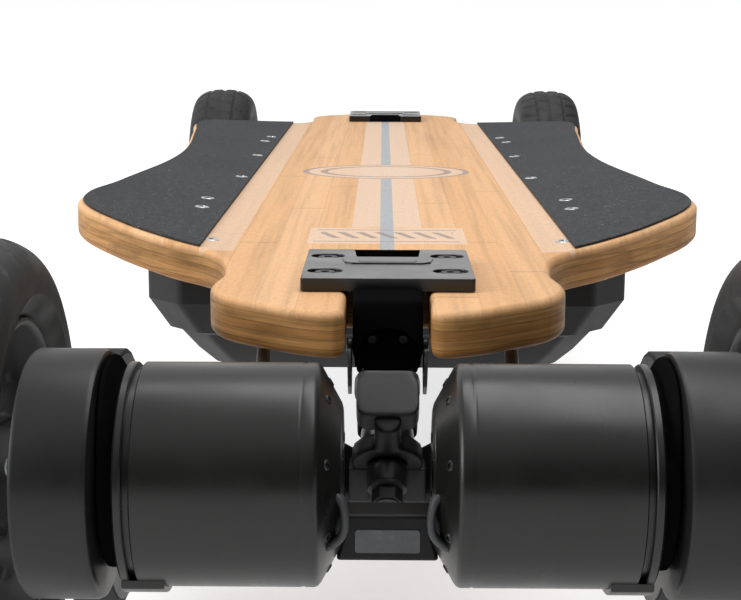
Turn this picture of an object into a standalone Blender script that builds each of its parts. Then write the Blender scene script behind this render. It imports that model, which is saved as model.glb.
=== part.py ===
"""Electric skateboard with all-terrain wheels: bamboo deck, double-kingpin trucks and twin belt drive.

Metres, +Z up. +Y points to the front (undriven) truck, +X to the right. The tyres stand on z = 0 and the
origin lies below the centre of the bounding box.
"""
from math import acos, atan2, cos, hypot, pi, radians, sin

import bmesh
import bpy
from mathutils import Vector

MM = 0.001
GAP = 0.3 * MM

# Wheels
TYRE_R = 87.5 * MM
TYRE_IN = 127.0 * MM
TYRE_OUT = 183.0 * MM
RIM_R = 58.0 * MM
WIDEST_R = 70.0 * MM
AXLE_R = 5.0 * MM
AXLE_END = 178.0 * MM
BEARING_R = 11.0 * MM
BEARING_IN = 160.0 * MM
BEARING_OUT = 167.0 * MM
CROWN_STEPS = 8

# Deck
DECK_TOP = 151.5 * MM
DECK_THICK = 17.0 * MM
DECK_BOTTOM = DECK_TOP - DECK_THICK
EDGE_ROUND = 6.0 * MM
SLOT_HALF = 15.4 * MM
TIP_Y = 493.5 * MM
GRIP_INNER = 81.5 * MM
GRIP_INSET = 2.5 * MM
GRIP_THICK = 1.0 * MM
CONCAVE_X = [60 * MM, 80 * MM, 100 * MM, 120 * MM, 140 * MM, 160 * MM]
CONCAVE_Z = [0.0, 0.9 * MM, 2.7 * MM, 4.9 * MM, 7.6 * MM, 10.6 * MM]

# Trucks: lengths along the board are measured outwards from the outer edge of the truck plate
PLATE_EDGE = 454.65 * MM
PLATE_LENGTH = 69.2 * MM
PLATE_HALF = 32.65 * MM
PLATE_THICK = 5.0 * MM
NECK_HALF = 12.75 * MM
SLOT_DEPTH = 14.0 * MM
AXLE_OUT = 22.8 * MM
UPPER_PIVOT = (-4.0 * MM, 114.0 * MM)
LOWER_PIVOT = (40.0 * MM, 100.0 * MM)
PIVOT_TILT = radians(45)
RING_R = 12.5 * MM
RING_HALF = 3.5 * MM
BUSHING_R = 9.0 * MM
BUSHING_TOP = 11.5 * MM
SEAT_Z = 11.8 * MM
SLAB_TOP = 19.0 * MM
KINGPIN_R = 4.7 * MM
NOSE_R = 4.7 * MM
LINK_HALF = 10.8 * MM
UPPER_NOSE_END = 33.0 * MM
LOWER_NOSE_END = 26.0 * MM
HANGER_END = 90.5 * MM
TUBE_R = 10.3 * MM

# Motors and belt drive
MOTOR_BACK = 64.0 * MM
MOTOR_Z = 108.4 * MM
MOTOR_R = 35.8 * MM
MOTOR_IN = 14.5 * MM
MOTOR_OUT = 83.0 * MM
SHAFT_R = 4.0 * MM
MOUNT_OUT = 88.6 * MM
COVER_R = 40.0 * MM
COVER_IN = 89.2 * MM
COVER_OUT = 113.5 * MM
BELT_IN = 95.5 * MM
BELT_OUT = 110.5 * MM
BELT_THICK = 3.0 * MM
TOOTH_PITCH = 5.0 * MM
GEAR_TEETH = 54
PULLEY_TEETH = 15
GEAR_R = GEAR_TEETH * TOOTH_PITCH / (2 * pi)
PULLEY_R = PULLEY_TEETH * TOOTH_PITCH / (2 * pi)

# Enclosure under the deck: height, half width, half length and corner chamfer of each level
ENCLOSURE_LEVELS = [
    (131.9 * MM, 120 * MM, 285 * MM, 18 * MM),
    (113.0 * MM, 120 * MM, 285 * MM, 18 * MM),
    (97.0 * MM, 109 * MM, 276 * MM, 17 * MM),
    (95.0 * MM, 104 * MM, 271 * MM, 16 * MM),
    (84.0 * MM, 96 * MM, 263 * MM, 15 * MM),
    (75.0 * MM, 88 * MM, 254 * MM, 14 * MM),
]
SHELL = 2.5 * MM
CONTROL_Z = 122.5 * MM
PORT_Y = -170 * MM
BUTTON_Y = -205 * MM
PORT_HOLE_R = 7.3 * MM
BUTTON_HOLE_R = 5.4 * MM

# The driven end reaches further out than the front tyres, so the wheelbase centre is a little off the origin
CENTRE_Y = (MOTOR_BACK + COVER_R - TYRE_R) / 2
AXLE_Y = PLATE_EDGE + AXLE_OUT
AXLE_Z = TYRE_R

PARTS = "electric_skateboard"
CUTTERS = "cutters"


# ---- scene, collections and materials ----

def clear_scene():
    for old in list(bpy.data.objects):
        bpy.data.objects.remove(old, do_unlink=True)
    for name in (PARTS, CUTTERS):
        group = bpy.data.collections.new(name)
        bpy.context.scene.collection.children.link(group)


def material(name, colour, roughness, metallic=0.0):
    """The named Principled material, made on first use."""
    found = bpy.data.materials.get(name)
    if found:
        return found
    made = bpy.data.materials.new(name)
    made.use_nodes = True
    shader = made.node_tree.nodes["Principled BSDF"]
    shader.inputs["Base Color"].default_value = (*colour, 1.0)
    shader.inputs["Roughness"].default_value = roughness
    shader.inputs["Metallic"].default_value = metallic
    return made


def bamboo():
    return material("bamboo", (0.62, 0.38, 0.17), 0.45)


def grip_tape():
    return material("grip_tape", (0.012, 0.012, 0.013), 0.95)


def shell_plastic():
    return material("shell_plastic", (0.02, 0.02, 0.022), 0.6)


def black_metal():
    return material("black_metal", (0.02, 0.02, 0.021), 0.4, 0.6)


def steel():
    return material("steel", (0.55, 0.55, 0.56), 0.3, 1.0)


def rubber():
    return material("rubber", (0.015, 0.015, 0.015), 0.8)


def urethane():
    return material("urethane", (0.10, 0.10, 0.11), 0.5)


def hub_plastic():
    return material("hub_plastic", (0.025, 0.025, 0.027), 0.45)


def battery_wrap():
    return material("battery_wrap", (0.05, 0.09, 0.20), 0.5)


def winding():
    return material("winding", (0.45, 0.20, 0.08), 0.35, 1.0)


# ---- building blocks ----

def add(name, mesh, finish=None, parent=None, at=(0, 0, 0), turn=(0, 0, 0)):
    """A part with its own object; with no finish it is a cutter or a union tool."""
    thing = bpy.data.objects.new(name, mesh)
    bpy.data.collections[PARTS if finish else CUTTERS].objects.link(thing)
    if finish:
        mesh.materials.append(finish)
    else:
        thing.hide_render = True
        thing.display_type = "WIRE"
    thing.parent = parent
    thing.location = at
    thing.rotation_euler = turn
    return thing


def empty(name, parent, at=(0, 0, 0), turn=(0, 0, 0)):
    frame = bpy.data.objects.new(name, None)
    bpy.data.collections[PARTS].objects.link(frame)
    frame.parent = parent
    frame.location = at
    frame.rotation_euler = turn
    return frame


def block_mesh(name, low, high, bevel=0.0):
    """A box between two corners, its edges chamfered by bevel."""
    mesh = bpy.data.meshes.new(name)
    shape = bmesh.new()
    bmesh.ops.create_cube(shape, size=1.0)
    for v in shape.verts:
        v.co = Vector([low[i] if v.co[i] < 0 else high[i] for i in range(3)])
    if bevel:
        bmesh.ops.bevel(shape, geom=list(shape.edges), offset=bevel, segments=1, affect="EDGES")
    shape.to_mesh(mesh)
    shape.free()
    return mesh


def turned(name, profile, steps=28, finish=None, **place):
    """A solid of revolution about local Z. profile holds (radius, height), running down the outer side;
    it starts and ends on the axis, or else it closes on itself as a ring."""
    mesh = bpy.data.meshes.new(name)
    count = len(profile)
    edges = [(i, i + 1) for i in range(count - 1)]
    if profile[0][0] > 0:
        edges.append((count - 1, 0))
    mesh.from_pydata([(r, 0, h) for r, h in profile], edges, [])
    thing = add(name, mesh, finish, **place)
    screw = thing.modifiers.new("turn", "SCREW")
    screw.angle = 2 * pi
    screw.steps = steps
    screw.render_steps = steps
    screw.use_merge_vertices = True
    screw.merge_threshold = 0.01 * MM
    return smooth_mesh(thing)


def smooth_mesh(thing):
    """The object with its modifiers applied, shaded smooth up to 35 degrees."""
    bpy.context.view_layer.update()
    seen = thing.evaluated_get(bpy.context.evaluated_depsgraph_get())
    mesh = bpy.data.meshes.new_from_object(seen)
    thing.modifiers.clear()
    thing.data = mesh
    mesh.shade_smooth()
    mesh.set_sharp_from_angle(angle=radians(35))
    return thing


def rod(name, radius, low, high, steps=20, finish=None, **place):
    return turned(name, [(0, high), (radius, high), (radius, low), (0, low)], steps, finish, **place)


def ring_profile(inner, outer, low, high):
    return [(outer, high), (outer, low), (inner, low), (inner, high)]


def combine(thing, operation, *tools):
    for tool in tools:
        step = thing.modifiers.new(tool.name, "BOOLEAN")
        step.operation = operation
        step.object = tool
        step.solver = "EXACT"
    return thing


def outline_curve(name, splines, thick):
    """A flat curve filled between its splines. Each spline is (points, smooth)."""
    curve = bpy.data.curves.new(name, "CURVE")
    curve.dimensions = "2D"
    curve.fill_mode = "BOTH"
    curve.extrude = thick / 2
    for points, is_smooth in splines:
        spline = curve.splines.new("BEZIER" if is_smooth else "POLY")
        slots = spline.bezier_points if is_smooth else spline.points
        slots.add(len(points) - 1)
        for slot, point in zip(slots, points):
            if is_smooth:
                slot.co = (point[0], point[1], 0)
                kind = "VECTOR" if len(point) > 2 else "AUTO"
                slot.handle_left_type = kind
                slot.handle_right_type = kind
            else:
                slot.co = (point[0], point[1], 0, 1)
        spline.use_cyclic_u = True
        spline.resolution_u = 3
    return curve


def prism_mesh(name, splines, thick, z=0.0):
    """The filled outline as a closed mesh, centred on height z."""
    curve = outline_curve(name, splines, thick)
    holder = bpy.data.objects.new(name, curve)
    bpy.context.scene.collection.objects.link(holder)
    bpy.context.view_layer.update()
    mesh = bpy.data.meshes.new_from_object(holder.evaluated_get(bpy.context.evaluated_depsgraph_get()))
    bpy.data.objects.remove(holder, do_unlink=True)
    shape = bmesh.new()
    shape.from_mesh(mesh)
    bmesh.ops.remove_doubles(shape, verts=shape.verts, dist=0.02 * MM)
    bmesh.ops.dissolve_limit(shape, angle_limit=radians(0.5), verts=[], edges=shape.edges)
    for v in shape.verts:
        v.co.z += z
    shape.to_mesh(mesh)
    shape.free()
    return mesh


def arc(centre, radius, start, end, count):
    """Points on an arc, angles in radians, both ends included."""
    steps = [start + (end - start) * i / (count - 1) for i in range(count)]
    return [(centre[0] + radius * cos(t), centre[1] + radius * sin(t)) for t in steps]


def circle(centre, radius, count=24):
    return arc(centre, radius, 0, 2 * pi * (count - 1) / count, count)


def wrapped(first, first_r, second, second_r, first_count=20, second_count=10):
    """The outline of a band stretched round two circles."""
    dx = second[0] - first[0]
    dy = second[1] - first[1]
    heading = atan2(dy, dx)
    spread = acos((first_r - second_r) / hypot(dx, dy))
    near = arc(first, first_r, heading + spread, heading + 2 * pi - spread, first_count)
    far = arc(second, second_r, heading - spread, heading + spread, second_count)
    return near + far


# ---- deck ----

def concave(x):
    """How far the deck rises above its flat middle at distance x from the centre line."""
    x = abs(x)
    for i in range(len(CONCAVE_X) - 1):
        if CONCAVE_X[i] <= x <= CONCAVE_X[i + 1]:
            t = (x - CONCAVE_X[i]) / (CONCAVE_X[i + 1] - CONCAVE_X[i])
            return CONCAVE_Z[i] + t * (CONCAVE_Z[i + 1] - CONCAVE_Z[i])
    return 0.0


def wing_points(inset=0.0):
    """The right wing's edge from the rear waist of the neck round to the middle, as (x, distance from centre)."""
    edge = [(98, 345), (128, 310), (149.5, 274), (154.5, 244), (149, 175)]
    return [(x * MM - inset, y * MM - (inset if y > 250 else 0)) for x, y in edge]


def deck_outline():
    """The whole outline, counter-clockwise from the right side of the rear slot."""
    tip = [(SLOT_HALF, TIP_Y, "corner"), (40 * MM, 481.5 * MM), (64.5 * MM, 455 * MM), (65.5 * MM, 405 * MM),
           (75 * MM, 367 * MM)]
    slot_end = PLATE_EDGE - SLOT_DEPTH
    quarter = [(SLOT_HALF, slot_end, "corner")] + tip + wing_points()
    right_rear = [(p[0], -p[1], *p[2:]) for p in quarter]
    right_front = list(reversed(quarter))
    right = right_rear + [(138 * MM, 0.0)] + right_front
    left = [(-p[0], p[1], *p[2:]) for p in reversed(right)]
    return right + left


def bend_to_concave(mesh, above=-1.0):
    """Splits the mesh along the concave's fold lines and lifts what lies above the given height."""
    shape = bmesh.new()
    shape.from_mesh(mesh)
    for x in CONCAVE_X:
        for side in (-1, 1):
            everything = list(shape.verts) + list(shape.edges) + list(shape.faces)
            bmesh.ops.bisect_plane(shape, geom=everything, plane_co=(side * x, 0, 0), plane_no=(1, 0, 0),
                                   dist=0.01 * MM)
    for v in shape.verts:
        if v.co.z > above:
            v.co.z += concave(v.co.x)
    shape.to_mesh(mesh)
    shape.free()
    return mesh


def round_rim(mesh, width, segments):
    """Rounds the upper and lower rim of a flat plate."""
    shape = bmesh.new()
    shape.from_mesh(mesh)
    level = [e for e in shape.edges if abs(e.verts[0].co.z - e.verts[1].co.z) < MM]
    rims = [e for e in level if e.calc_face_angle(0.0) > radians(60)]
    bmesh.ops.bevel(shape, geom=rims, offset=width, segments=segments, profile=0.5, affect="EDGES")
    shape.to_mesh(mesh)
    shape.free()
    return mesh


def build_deck(board):
    plate = prism_mesh("deck", [(deck_outline(), True)], DECK_THICK, DECK_TOP - DECK_THICK / 2)
    bend_to_concave(round_rim(plate, EDGE_ROUND, 2))
    add("deck", plate, bamboo(), parent=board)


def build_grips(board):
    """Abrasive sheets on the wings, straight along their inner edge."""
    inner_y = 358 * MM - GRIP_INSET
    rear = [(x, -y) for x, y in wing_points(GRIP_INSET)]
    front = [(x, y) for x, y in reversed(wing_points(GRIP_INSET))]
    middle = [(138 * MM - GRIP_INSET, 0.0)]
    outer = rear + middle + front
    right = [(GRIP_INNER, -inner_y, "corner")] + outer + [(GRIP_INNER, inner_y, "corner")]
    left = [(-p[0], p[1], *p[2:]) for p in reversed(right)]
    for name, points in (("grip_right", right), ("grip_left", left)):
        sheet = prism_mesh(name, [(points, True)], GRIP_THICK, DECK_TOP + GAP + GRIP_THICK / 2)
        add(name, bend_to_concave(sheet), grip_tape(), parent=board)


# ---- enclosure and electronics ----

def level_outline(half_x, half_y, chamfer):
    """Chamfered rectangle; two points of each end follow the concave's first fold lines, or the chamfer if it
    comes first, so that every level has as many points."""
    corner = half_x - chamfer
    folds = [(min(CONCAVE_X[0], corner - 4 * MM), half_y), (min(CONCAVE_X[1], corner - 2 * MM), half_y)]
    quarter = folds + [(corner, half_y), (half_x, half_y - chamfer)]
    right = [(x, -y) for x, y in quarter] + list(reversed(quarter))
    return right + [(-x, y) for x, y in reversed(right)]


def build_enclosure(board):
    """Open-topped chamfered tray, lofted through its levels from the rim down to the floor."""
    mesh = bpy.data.meshes.new("enclosure")
    shape = bmesh.new()
    rows = []
    for z, half_x, half_y, chamfer in ENCLOSURE_LEVELS:
        lift = z > CONTROL_Z
        rows.append([shape.verts.new((x, y, z + (concave(x) if lift else 0)))
                     for x, y in level_outline(half_x, half_y, chamfer)])
    count = len(rows[0])
    for upper, lower in zip(rows, rows[1:]):
        for i in range(count):
            j = (i + 1) % count
            shape.faces.new((upper[i], lower[i], lower[j], upper[j]))
    shape.faces.new(list(reversed(rows[-1])))
    bmesh.ops.recalc_face_normals(shape, faces=shape.faces)
    shape.to_mesh(mesh)
    shape.free()
    tray = add("enclosure", mesh, shell_plastic(), parent=board)
    wall = tray.modifiers.new("wall", "SOLIDIFY")
    wall.thickness = SHELL
    wall.offset = -1
    wall.use_even_offset = True
    port_hole = rod("port_hole", PORT_HOLE_R, 100 * MM, 130 * MM, 16, parent=board, at=(0, PORT_Y, CONTROL_Z),
                    turn=(0, -pi / 2, 0))
    button_hole = rod("button_hole", BUTTON_HOLE_R, 100 * MM, 130 * MM, 16, parent=board, at=(0, BUTTON_Y, CONTROL_Z),
                      turn=(0, -pi / 2, 0))
    combine(tray, "DIFFERENCE", port_hole, button_hole)
    rim_z, half_x, half_y, chamfer = ENCLOSURE_LEVELS[0]
    outer = level_outline(half_x + 1.5 * MM, half_y + 1.5 * MM, chamfer)
    inner = level_outline(half_x - 9 * MM, half_y - 9 * MM, chamfer)
    top = DECK_BOTTOM - GAP
    bottom = rim_z + GAP
    seal = prism_mesh("enclosure_gasket", [(outer, False), (inner, False)], top - bottom, (top + bottom) / 2)
    add("enclosure_gasket", bend_to_concave(seal), rubber(), parent=board)


def build_electronics(board):
    battery = block_mesh("battery_pack", (-76 * MM, -100 * MM, 82 * MM), (76 * MM, 240 * MM, 125 * MM), 3 * MM)
    add("battery_pack", battery, battery_wrap(), parent=board)
    controller = block_mesh("motor_controller", (-62 * MM, -238 * MM, 82 * MM), (62 * MM, -110 * MM, 108 * MM),
                            2 * MM)
    add("motor_controller", controller, black_metal(), parent=board)
    wall_x = ENCLOSURE_LEVELS[0][1]
    port = [(8.5 * MM, wall_x + 2 * MM), (8.5 * MM, wall_x + GAP), (7 * MM, wall_x + GAP),
            (7 * MM, wall_x - 12 * MM), (3.5 * MM, wall_x - 12 * MM), (3.5 * MM, wall_x + 2 * MM)]
    turned("charge_port", port, 16, shell_plastic(), parent=board, at=(0, PORT_Y, CONTROL_Z), turn=(0, -pi / 2, 0))
    button = [(0, 2.5 * MM), (4.3 * MM, 2.5 * MM), (5 * MM, 1.8 * MM), (5 * MM, -4 * MM), (6.5 * MM, -4 * MM),
              (6.5 * MM, -6 * MM), (0, -6 * MM)]
    turned("power_button", button, 16, shell_plastic(), parent=board, at=(-wall_x, BUTTON_Y, CONTROL_Z),
           turn=(0, -pi / 2, 0))


# ---- trucks ----

def build_pivot_pins(end, stage, pivot):
    """The kingpin and the two bushings of one pivot. Local Z runs along the kingpin, up and inboard."""
    pin = [(0, SLAB_TOP - 1 * MM), (KINGPIN_R, SLAB_TOP - 1 * MM), (KINGPIN_R, -BUSHING_TOP - GAP),
           (BUSHING_R, -BUSHING_TOP - GAP), (BUSHING_R, -BUSHING_TOP - 2 * MM), (7.5 * MM, -BUSHING_TOP - 2 * MM),
           (7.5 * MM, -BUSHING_TOP - 7 * MM), (0, -BUSHING_TOP - 7 * MM)]
    turned(f"{end}_{stage}_kingpin", pin, 16, steel(), parent=pivot)
    hole = KINGPIN_R + GAP
    low = RING_HALF + GAP
    turned(f"{end}_{stage}_bushing_inner", ring_profile(hole, BUSHING_R, low, BUSHING_TOP), 16, urethane(),
           parent=pivot)
    cone = [(BUSHING_R, -low), (7.4 * MM, -BUSHING_TOP), (hole, -BUSHING_TOP), (hole, -low)]
    turned(f"{end}_{stage}_bushing_outer", cone, 16, urethane(), parent=pivot)


def nose_tools(label, pivot, nose_end):
    """The ring round the kingpin and the nose along the pivot axis, as union tools, and the ring's hole."""
    ring = rod(f"{label}_ring", RING_R, -RING_HALF, RING_HALF, 24, parent=pivot)
    nose = rod(f"{label}_nose", NOSE_R, BUSHING_R + 0.6 * MM, nose_end, 16, parent=pivot, turn=(-pi / 2, 0, 0))
    hole = rod(f"{label}_ring_hole", KINGPIN_R + 1.6 * MM, -9 * MM, 9 * MM, 16, parent=pivot)
    return ring, nose, hole


def seat_tools(label, pivot, half_x, cup_start, cup_end, slab_start):
    """The slab that holds the kingpin and the block with the cup for the nose, and their two holes."""
    slab_low = (-half_x, slab_start, SEAT_Z)
    slab = add(f"{label}_slab", block_mesh(label, slab_low, (half_x, cup_end, SLAB_TOP), 1 * MM), parent=pivot)
    cup_mesh = block_mesh(label, (-half_x, cup_start, -7 * MM), (half_x, cup_end, SLAB_TOP - 1.5 * MM), 2.5 * MM)
    cup = add(f"{label}_cup", cup_mesh, parent=pivot)
    pin_hole = rod(f"{label}_pin_hole", KINGPIN_R + GAP, 5 * MM, 40 * MM, 16, parent=pivot)
    cup_hole = rod(f"{label}_cup_hole", NOSE_R + 0.6 * MM, cup_start - 4 * MM, cup_end - 1.5 * MM, 16,
                   parent=pivot, turn=(-pi / 2, 0, 0))
    return slab, cup, pin_hole, cup_hole


def build_truck(end, board):
    """One truck in its own frame: local +Y points outwards from the plate's outer edge."""
    facing = 1 if end == "front" else -1
    turn = (0, 0, 0) if end == "front" else (0, 0, pi)
    truck = empty(f"{end}_truck", board, (0, facing * PLATE_EDGE, 0), turn)
    upper = empty(f"{end}_upper_pivot", truck, (0, *UPPER_PIVOT), (PIVOT_TILT, 0, 0))
    lower = empty(f"{end}_lower_pivot", truck, (0, *LOWER_PIVOT), (PIVOT_TILT, 0, 0))

    plate_low = (-PLATE_HALF, -PLATE_LENGTH, DECK_TOP + GAP)
    plate = block_mesh(f"{end}_truck_plate", plate_low, (PLATE_HALF, 0, DECK_TOP + GAP + PLATE_THICK), 0.8 * MM)
    base = add(f"{end}_truck_plate", plate, black_metal(), parent=truck)
    neck_mesh = block_mesh("neck", (-NECK_HALF, -11 * MM, 132 * MM), (NECK_HALF, 22 * MM, DECK_TOP + 2 * MM), 2 * MM)
    neck = add(f"{end}_neck", neck_mesh, parent=truck)
    slab, cup, pin_hole, cup_hole = seat_tools(f"{end}_upper", upper, 12 * MM, 24 * MM, 35 * MM, -10 * MM)
    combine(base, "UNION", neck, slab, cup)
    combine(base, "DIFFERENCE", pin_hole, cup_hole)
    build_pivot_pins(end, "upper", upper)

    slab, cup, pin_hole, cup_hole = seat_tools(f"{end}_lower", lower, LINK_HALF, 17 * MM, 28 * MM, -9.5 * MM)
    ring, nose, ring_hole = nose_tools(f"{end}_link", upper, UPPER_NOSE_END)
    link = add(f"{end}_truck_link", block_mesh("link", (-9 * MM, 11 * MM, -27 * MM), (9 * MM, 21.5 * MM, 3.4 * MM),
                                               2 * MM), black_metal(), parent=upper)
    combine(link, "UNION", ring, nose, slab, cup)
    combine(link, "DIFFERENCE", ring_hole, pin_hole, cup_hole)
    build_pivot_pins(end, "lower", lower)

    arm = [(TUBE_R, 0), (TUBE_R, 13 * MM), (13 * MM, 17 * MM), (13 * MM, 30 * MM), (TUBE_R, 58 * MM),
           (TUBE_R, HANGER_END)]
    bore = AXLE_R + GAP
    ends = [(bore, -HANGER_END), (bore, HANGER_END)]
    left_arm = [(r, -h) for r, h in arm[1:]]
    tube = list(reversed(arm)) + left_arm + ends
    ring, nose, ring_hole = nose_tools(f"{end}_hanger", lower, LOWER_NOSE_END)
    web = add(f"{end}_hanger_web", block_mesh("web", (-10 * MM, -14 * MM, -3.4 * MM), (10 * MM, -7 * MM, 3.4 * MM)),
              parent=lower)
    hanger = turned(f"{end}_hanger", tube, 20, black_metal(), parent=truck, at=(0, AXLE_OUT, AXLE_Z),
                    turn=(0, pi / 2, 0))
    combine(hanger, "UNION", ring, web, nose)
    combine(hanger, "DIFFERENCE", ring_hole)
    rod(f"{end}_axle", AXLE_R, -AXLE_END, AXLE_END, 16, steel(), parent=truck, at=(0, AXLE_OUT, AXLE_Z),
        turn=(0, pi / 2, 0))


# ---- wheels ----

def tyre_profile():
    """Balloon section: a bead at the rim, full sidewalls and a round crown."""
    middle = (TYRE_IN + TYRE_OUT) / 2
    half = (TYRE_OUT - TYRE_IN) / 2
    crown = []
    for i in range(CROWN_STEPS + 1):
        t = pi * i / CROWN_STEPS
        side = cos(t)
        bulge = abs(side) ** 0.8 * (1 if side >= 0 else -1)
        crown.append((WIDEST_R + (TYRE_R - WIDEST_R) * sin(t) ** 0.85, middle + half * bulge))
    bead = 21.5 * MM
    return crown + [(RIM_R, middle - bead), (RIM_R, middle + bead)]


def hub_profile():
    """Rim, web and boss; the outer end of the boss holds the bearing."""
    rim = RIM_R - GAP
    lip = rim - 3.7 * MM
    well = rim - 4.7 * MM
    seat = BEARING_R + GAP
    bore = AXLE_R + 0.8 * MM
    return [(rim, 178 * MM), (rim, 132 * MM), (lip, 132 * MM), (well, 150 * MM), (17 * MM, 150 * MM),
            (17 * MM, 111.5 * MM), (bore, 111.5 * MM), (bore, BEARING_IN - GAP), (seat, BEARING_IN - GAP),
            (seat, 169 * MM), (17 * MM, 169 * MM), (17 * MM, 158 * MM), (well, 158 * MM), (lip, 178 * MM)]


def build_wheel(end, side, board):
    sign = 1 if side == "right" else -1
    y = AXLE_Y if end == "front" else -AXLE_Y
    place = {"parent": empty(f"{end}_{side}_wheel", board, (0, y, AXLE_Z)), "turn": (0, sign * pi / 2, 0)}
    turned(f"{end}_{side}_tyre", tyre_profile(), 32, rubber(), **place)
    turned(f"{end}_{side}_hub", hub_profile(), 24, hub_plastic(), **place)
    bearing = ring_profile(AXLE_R + GAP, BEARING_R, BEARING_IN, BEARING_OUT)
    turned(f"{end}_{side}_bearing", bearing, 16, steel(), **place)
    if end == "rear":
        gear = ring_profile(12 * MM, GEAR_R, BELT_IN - 0.7 * MM, BELT_OUT + 0.6 * MM)
        turned(f"rear_{side}_drive_gear", gear, 32, hub_plastic(), **place)


# ---- motors and belt drive ----

def build_drive(side, board):
    sign = 1 if side == "right" else -1
    motor_at = (0, -AXLE_Y - MOTOR_BACK, MOTOR_Z)
    axis = {"parent": empty(f"{side}_motor_axis", board, motor_at), "turn": (0, sign * pi / 2, 0)}
    wall = 3 * MM
    cone_r = 22 * MM
    shoulder = MOTOR_IN + 8 * MM
    can = [(MOTOR_R, MOTOR_OUT), (MOTOR_R, shoulder), (cone_r, MOTOR_IN), (5 * MM, MOTOR_IN),
           (5 * MM, MOTOR_IN + 3.5 * MM), (cone_r - 2 * MM, MOTOR_IN + 3.5 * MM), (MOTOR_R - wall, shoulder + 1.5 * MM),
           (MOTOR_R - wall, MOTOR_OUT - wall), (SHAFT_R + 1 * MM, MOTOR_OUT - wall), (SHAFT_R + 1 * MM, MOTOR_OUT)]
    turned(f"{side}_motor_can", can, 28, black_metal(), **axis)
    stator = ring_profile(22 * MM, MOTOR_R - wall - GAP, 31 * MM, 72 * MM)
    turned(f"{side}_stator", stator, 20, winding(), **axis)
    shaft_end = COVER_OUT - 3 * MM
    rotor = [(0, shaft_end), (SHAFT_R, shaft_end), (SHAFT_R, 73 * MM), (21 * MM, 73 * MM), (21 * MM, 30 * MM),
             (SHAFT_R, 30 * MM), (SHAFT_R, 19 * MM), (0, 19 * MM)]
    turned(f"{side}_rotor", rotor, 20, steel(), **axis)
    pulley = ring_profile(SHAFT_R + GAP, PULLEY_R, BELT_IN - 0.5 * MM, BELT_OUT - 0.5 * MM)
    turned(f"{side}_motor_pulley", pulley, 16, steel(), **axis)

    # Plates that stand across the axle: local X is world Y, local Y is world Z
    across = {"parent": board, "turn": (pi / 2, 0, pi / 2)}
    axle = (-AXLE_Y, AXLE_Z)
    motor = (motor_at[1], MOTOR_Z)
    mount_in = MOTOR_OUT + GAP
    mount = prism_mesh(f"{side}_motor_mount", [
        (wrapped(axle, 17 * MM, motor, 30 * MM, 12, 16), False),
        (circle(axle, TUBE_R + 2 * GAP, 20), False),
        (circle(motor, 8 * MM, 12), False),
    ], MOUNT_OUT - mount_in)
    add(f"{side}_motor_mount", mount, black_metal(), at=(sign * (MOUNT_OUT + mount_in) / 2, 0, 0), **across)

    inner_gap = 0.35 * MM
    belt = prism_mesh(f"{side}_belt", [
        (wrapped(axle, GEAR_R + inner_gap + BELT_THICK, motor, PULLEY_R + inner_gap + BELT_THICK), False),
        (wrapped(axle, GEAR_R + inner_gap, motor, PULLEY_R + inner_gap), False),
    ], BELT_OUT - BELT_IN)
    add(f"{side}_belt", belt, rubber(), at=(sign * (BELT_OUT + BELT_IN) / 2, 0, 0), **across)

    skin = 1.8 * MM
    lip = 24 * MM
    cup = [(COVER_R, COVER_OUT - 1.5 * MM), (COVER_R, COVER_IN + 1 * MM), (COVER_R - 1 * MM, COVER_IN), (9 * MM, COVER_IN),
           (9 * MM, COVER_IN + skin), (COVER_R - skin, COVER_IN + skin), (COVER_R - skin, COVER_OUT - skin),
           (lip, COVER_OUT - skin), (lip, COVER_OUT), (COVER_R - 1.5 * MM, COVER_OUT)]
    cover = turned(f"{side}_belt_cover", cup, 28, shell_plastic(), **axis)
    clearance = GEAR_R + BELT_THICK + 8.5 * MM
    sweep = rod(f"{side}_gear_sweep", clearance, 80 * MM, 125 * MM, 28, parent=board, at=(0, *axle),
                turn=(0, sign * pi / 2, 0))
    combine(cover, "DIFFERENCE", sweep)


def build_brace(board):
    """The bar that ties the inner ends of the two motors together."""
    y = -AXLE_Y - MOTOR_BACK
    half = MOTOR_IN - GAP
    bar = block_mesh("motor_brace", (-half, y - 7 * MM, 81.5 * MM), (half, y + 7 * MM, 97 * MM), 1.5 * MM)
    add("motor_brace", bar, black_metal(), parent=board)


def cable_route(sign):
    """The motor lead: out of the enclosure, under the deck's neck, down and back to the motor."""
    return [(sign * x * MM, y * MM, z * MM) for x, y, z in (
        (46, -285.4, 124), (46, -295, 124.2), (46, -320, 126.5), (46.5, -360, 128.5), (47, -400, 128.5),
        (47, -440, 128), (46, -462, 125.5), (44, -482, 121), (41, -494, 117), (39, -502, 114.5))]


def smooth_route(points, spacing):
    """Points read off a Catmull-Rom curve through the route, about spacing apart."""
    route = [Vector(p) for p in points]
    ends = [2 * route[0] - route[1]] + route + [2 * route[-1] - route[-2]]
    out = []
    for a, b, c, d in zip(ends, ends[1:], ends[2:], ends[3:]):
        count = max(1, round((c - b).length / spacing))
        for i in range(count):
            t = i / count
            out.append(0.5 * (2 * b + (c - a) * t + (2 * a - 5 * b + 4 * c - d) * t ** 2
                              + (3 * b - a - 3 * c + d) * t ** 3))
    return out + [route[-1]]


def build_cables(board):
    for side, sign in (("left", -1), ("right", 1)):
        curve = bpy.data.curves.new(f"{side}_motor_cable", "CURVE")
        curve.dimensions = "3D"
        curve.bevel_depth = 3.6 * MM
        curve.bevel_resolution = 2
        curve.use_fill_caps = True
        curve.materials.append(rubber())
        points = smooth_route(cable_route(sign), 15 * MM)
        spline = curve.splines.new("POLY")
        spline.points.add(len(points) - 1)
        for slot, point in zip(spline.points, points):
            slot.co = (*point, 1)
        cable = bpy.data.objects.new(f"{side}_motor_cable", curve)
        bpy.data.collections[PARTS].objects.link(cable)
        cable.parent = board


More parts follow.
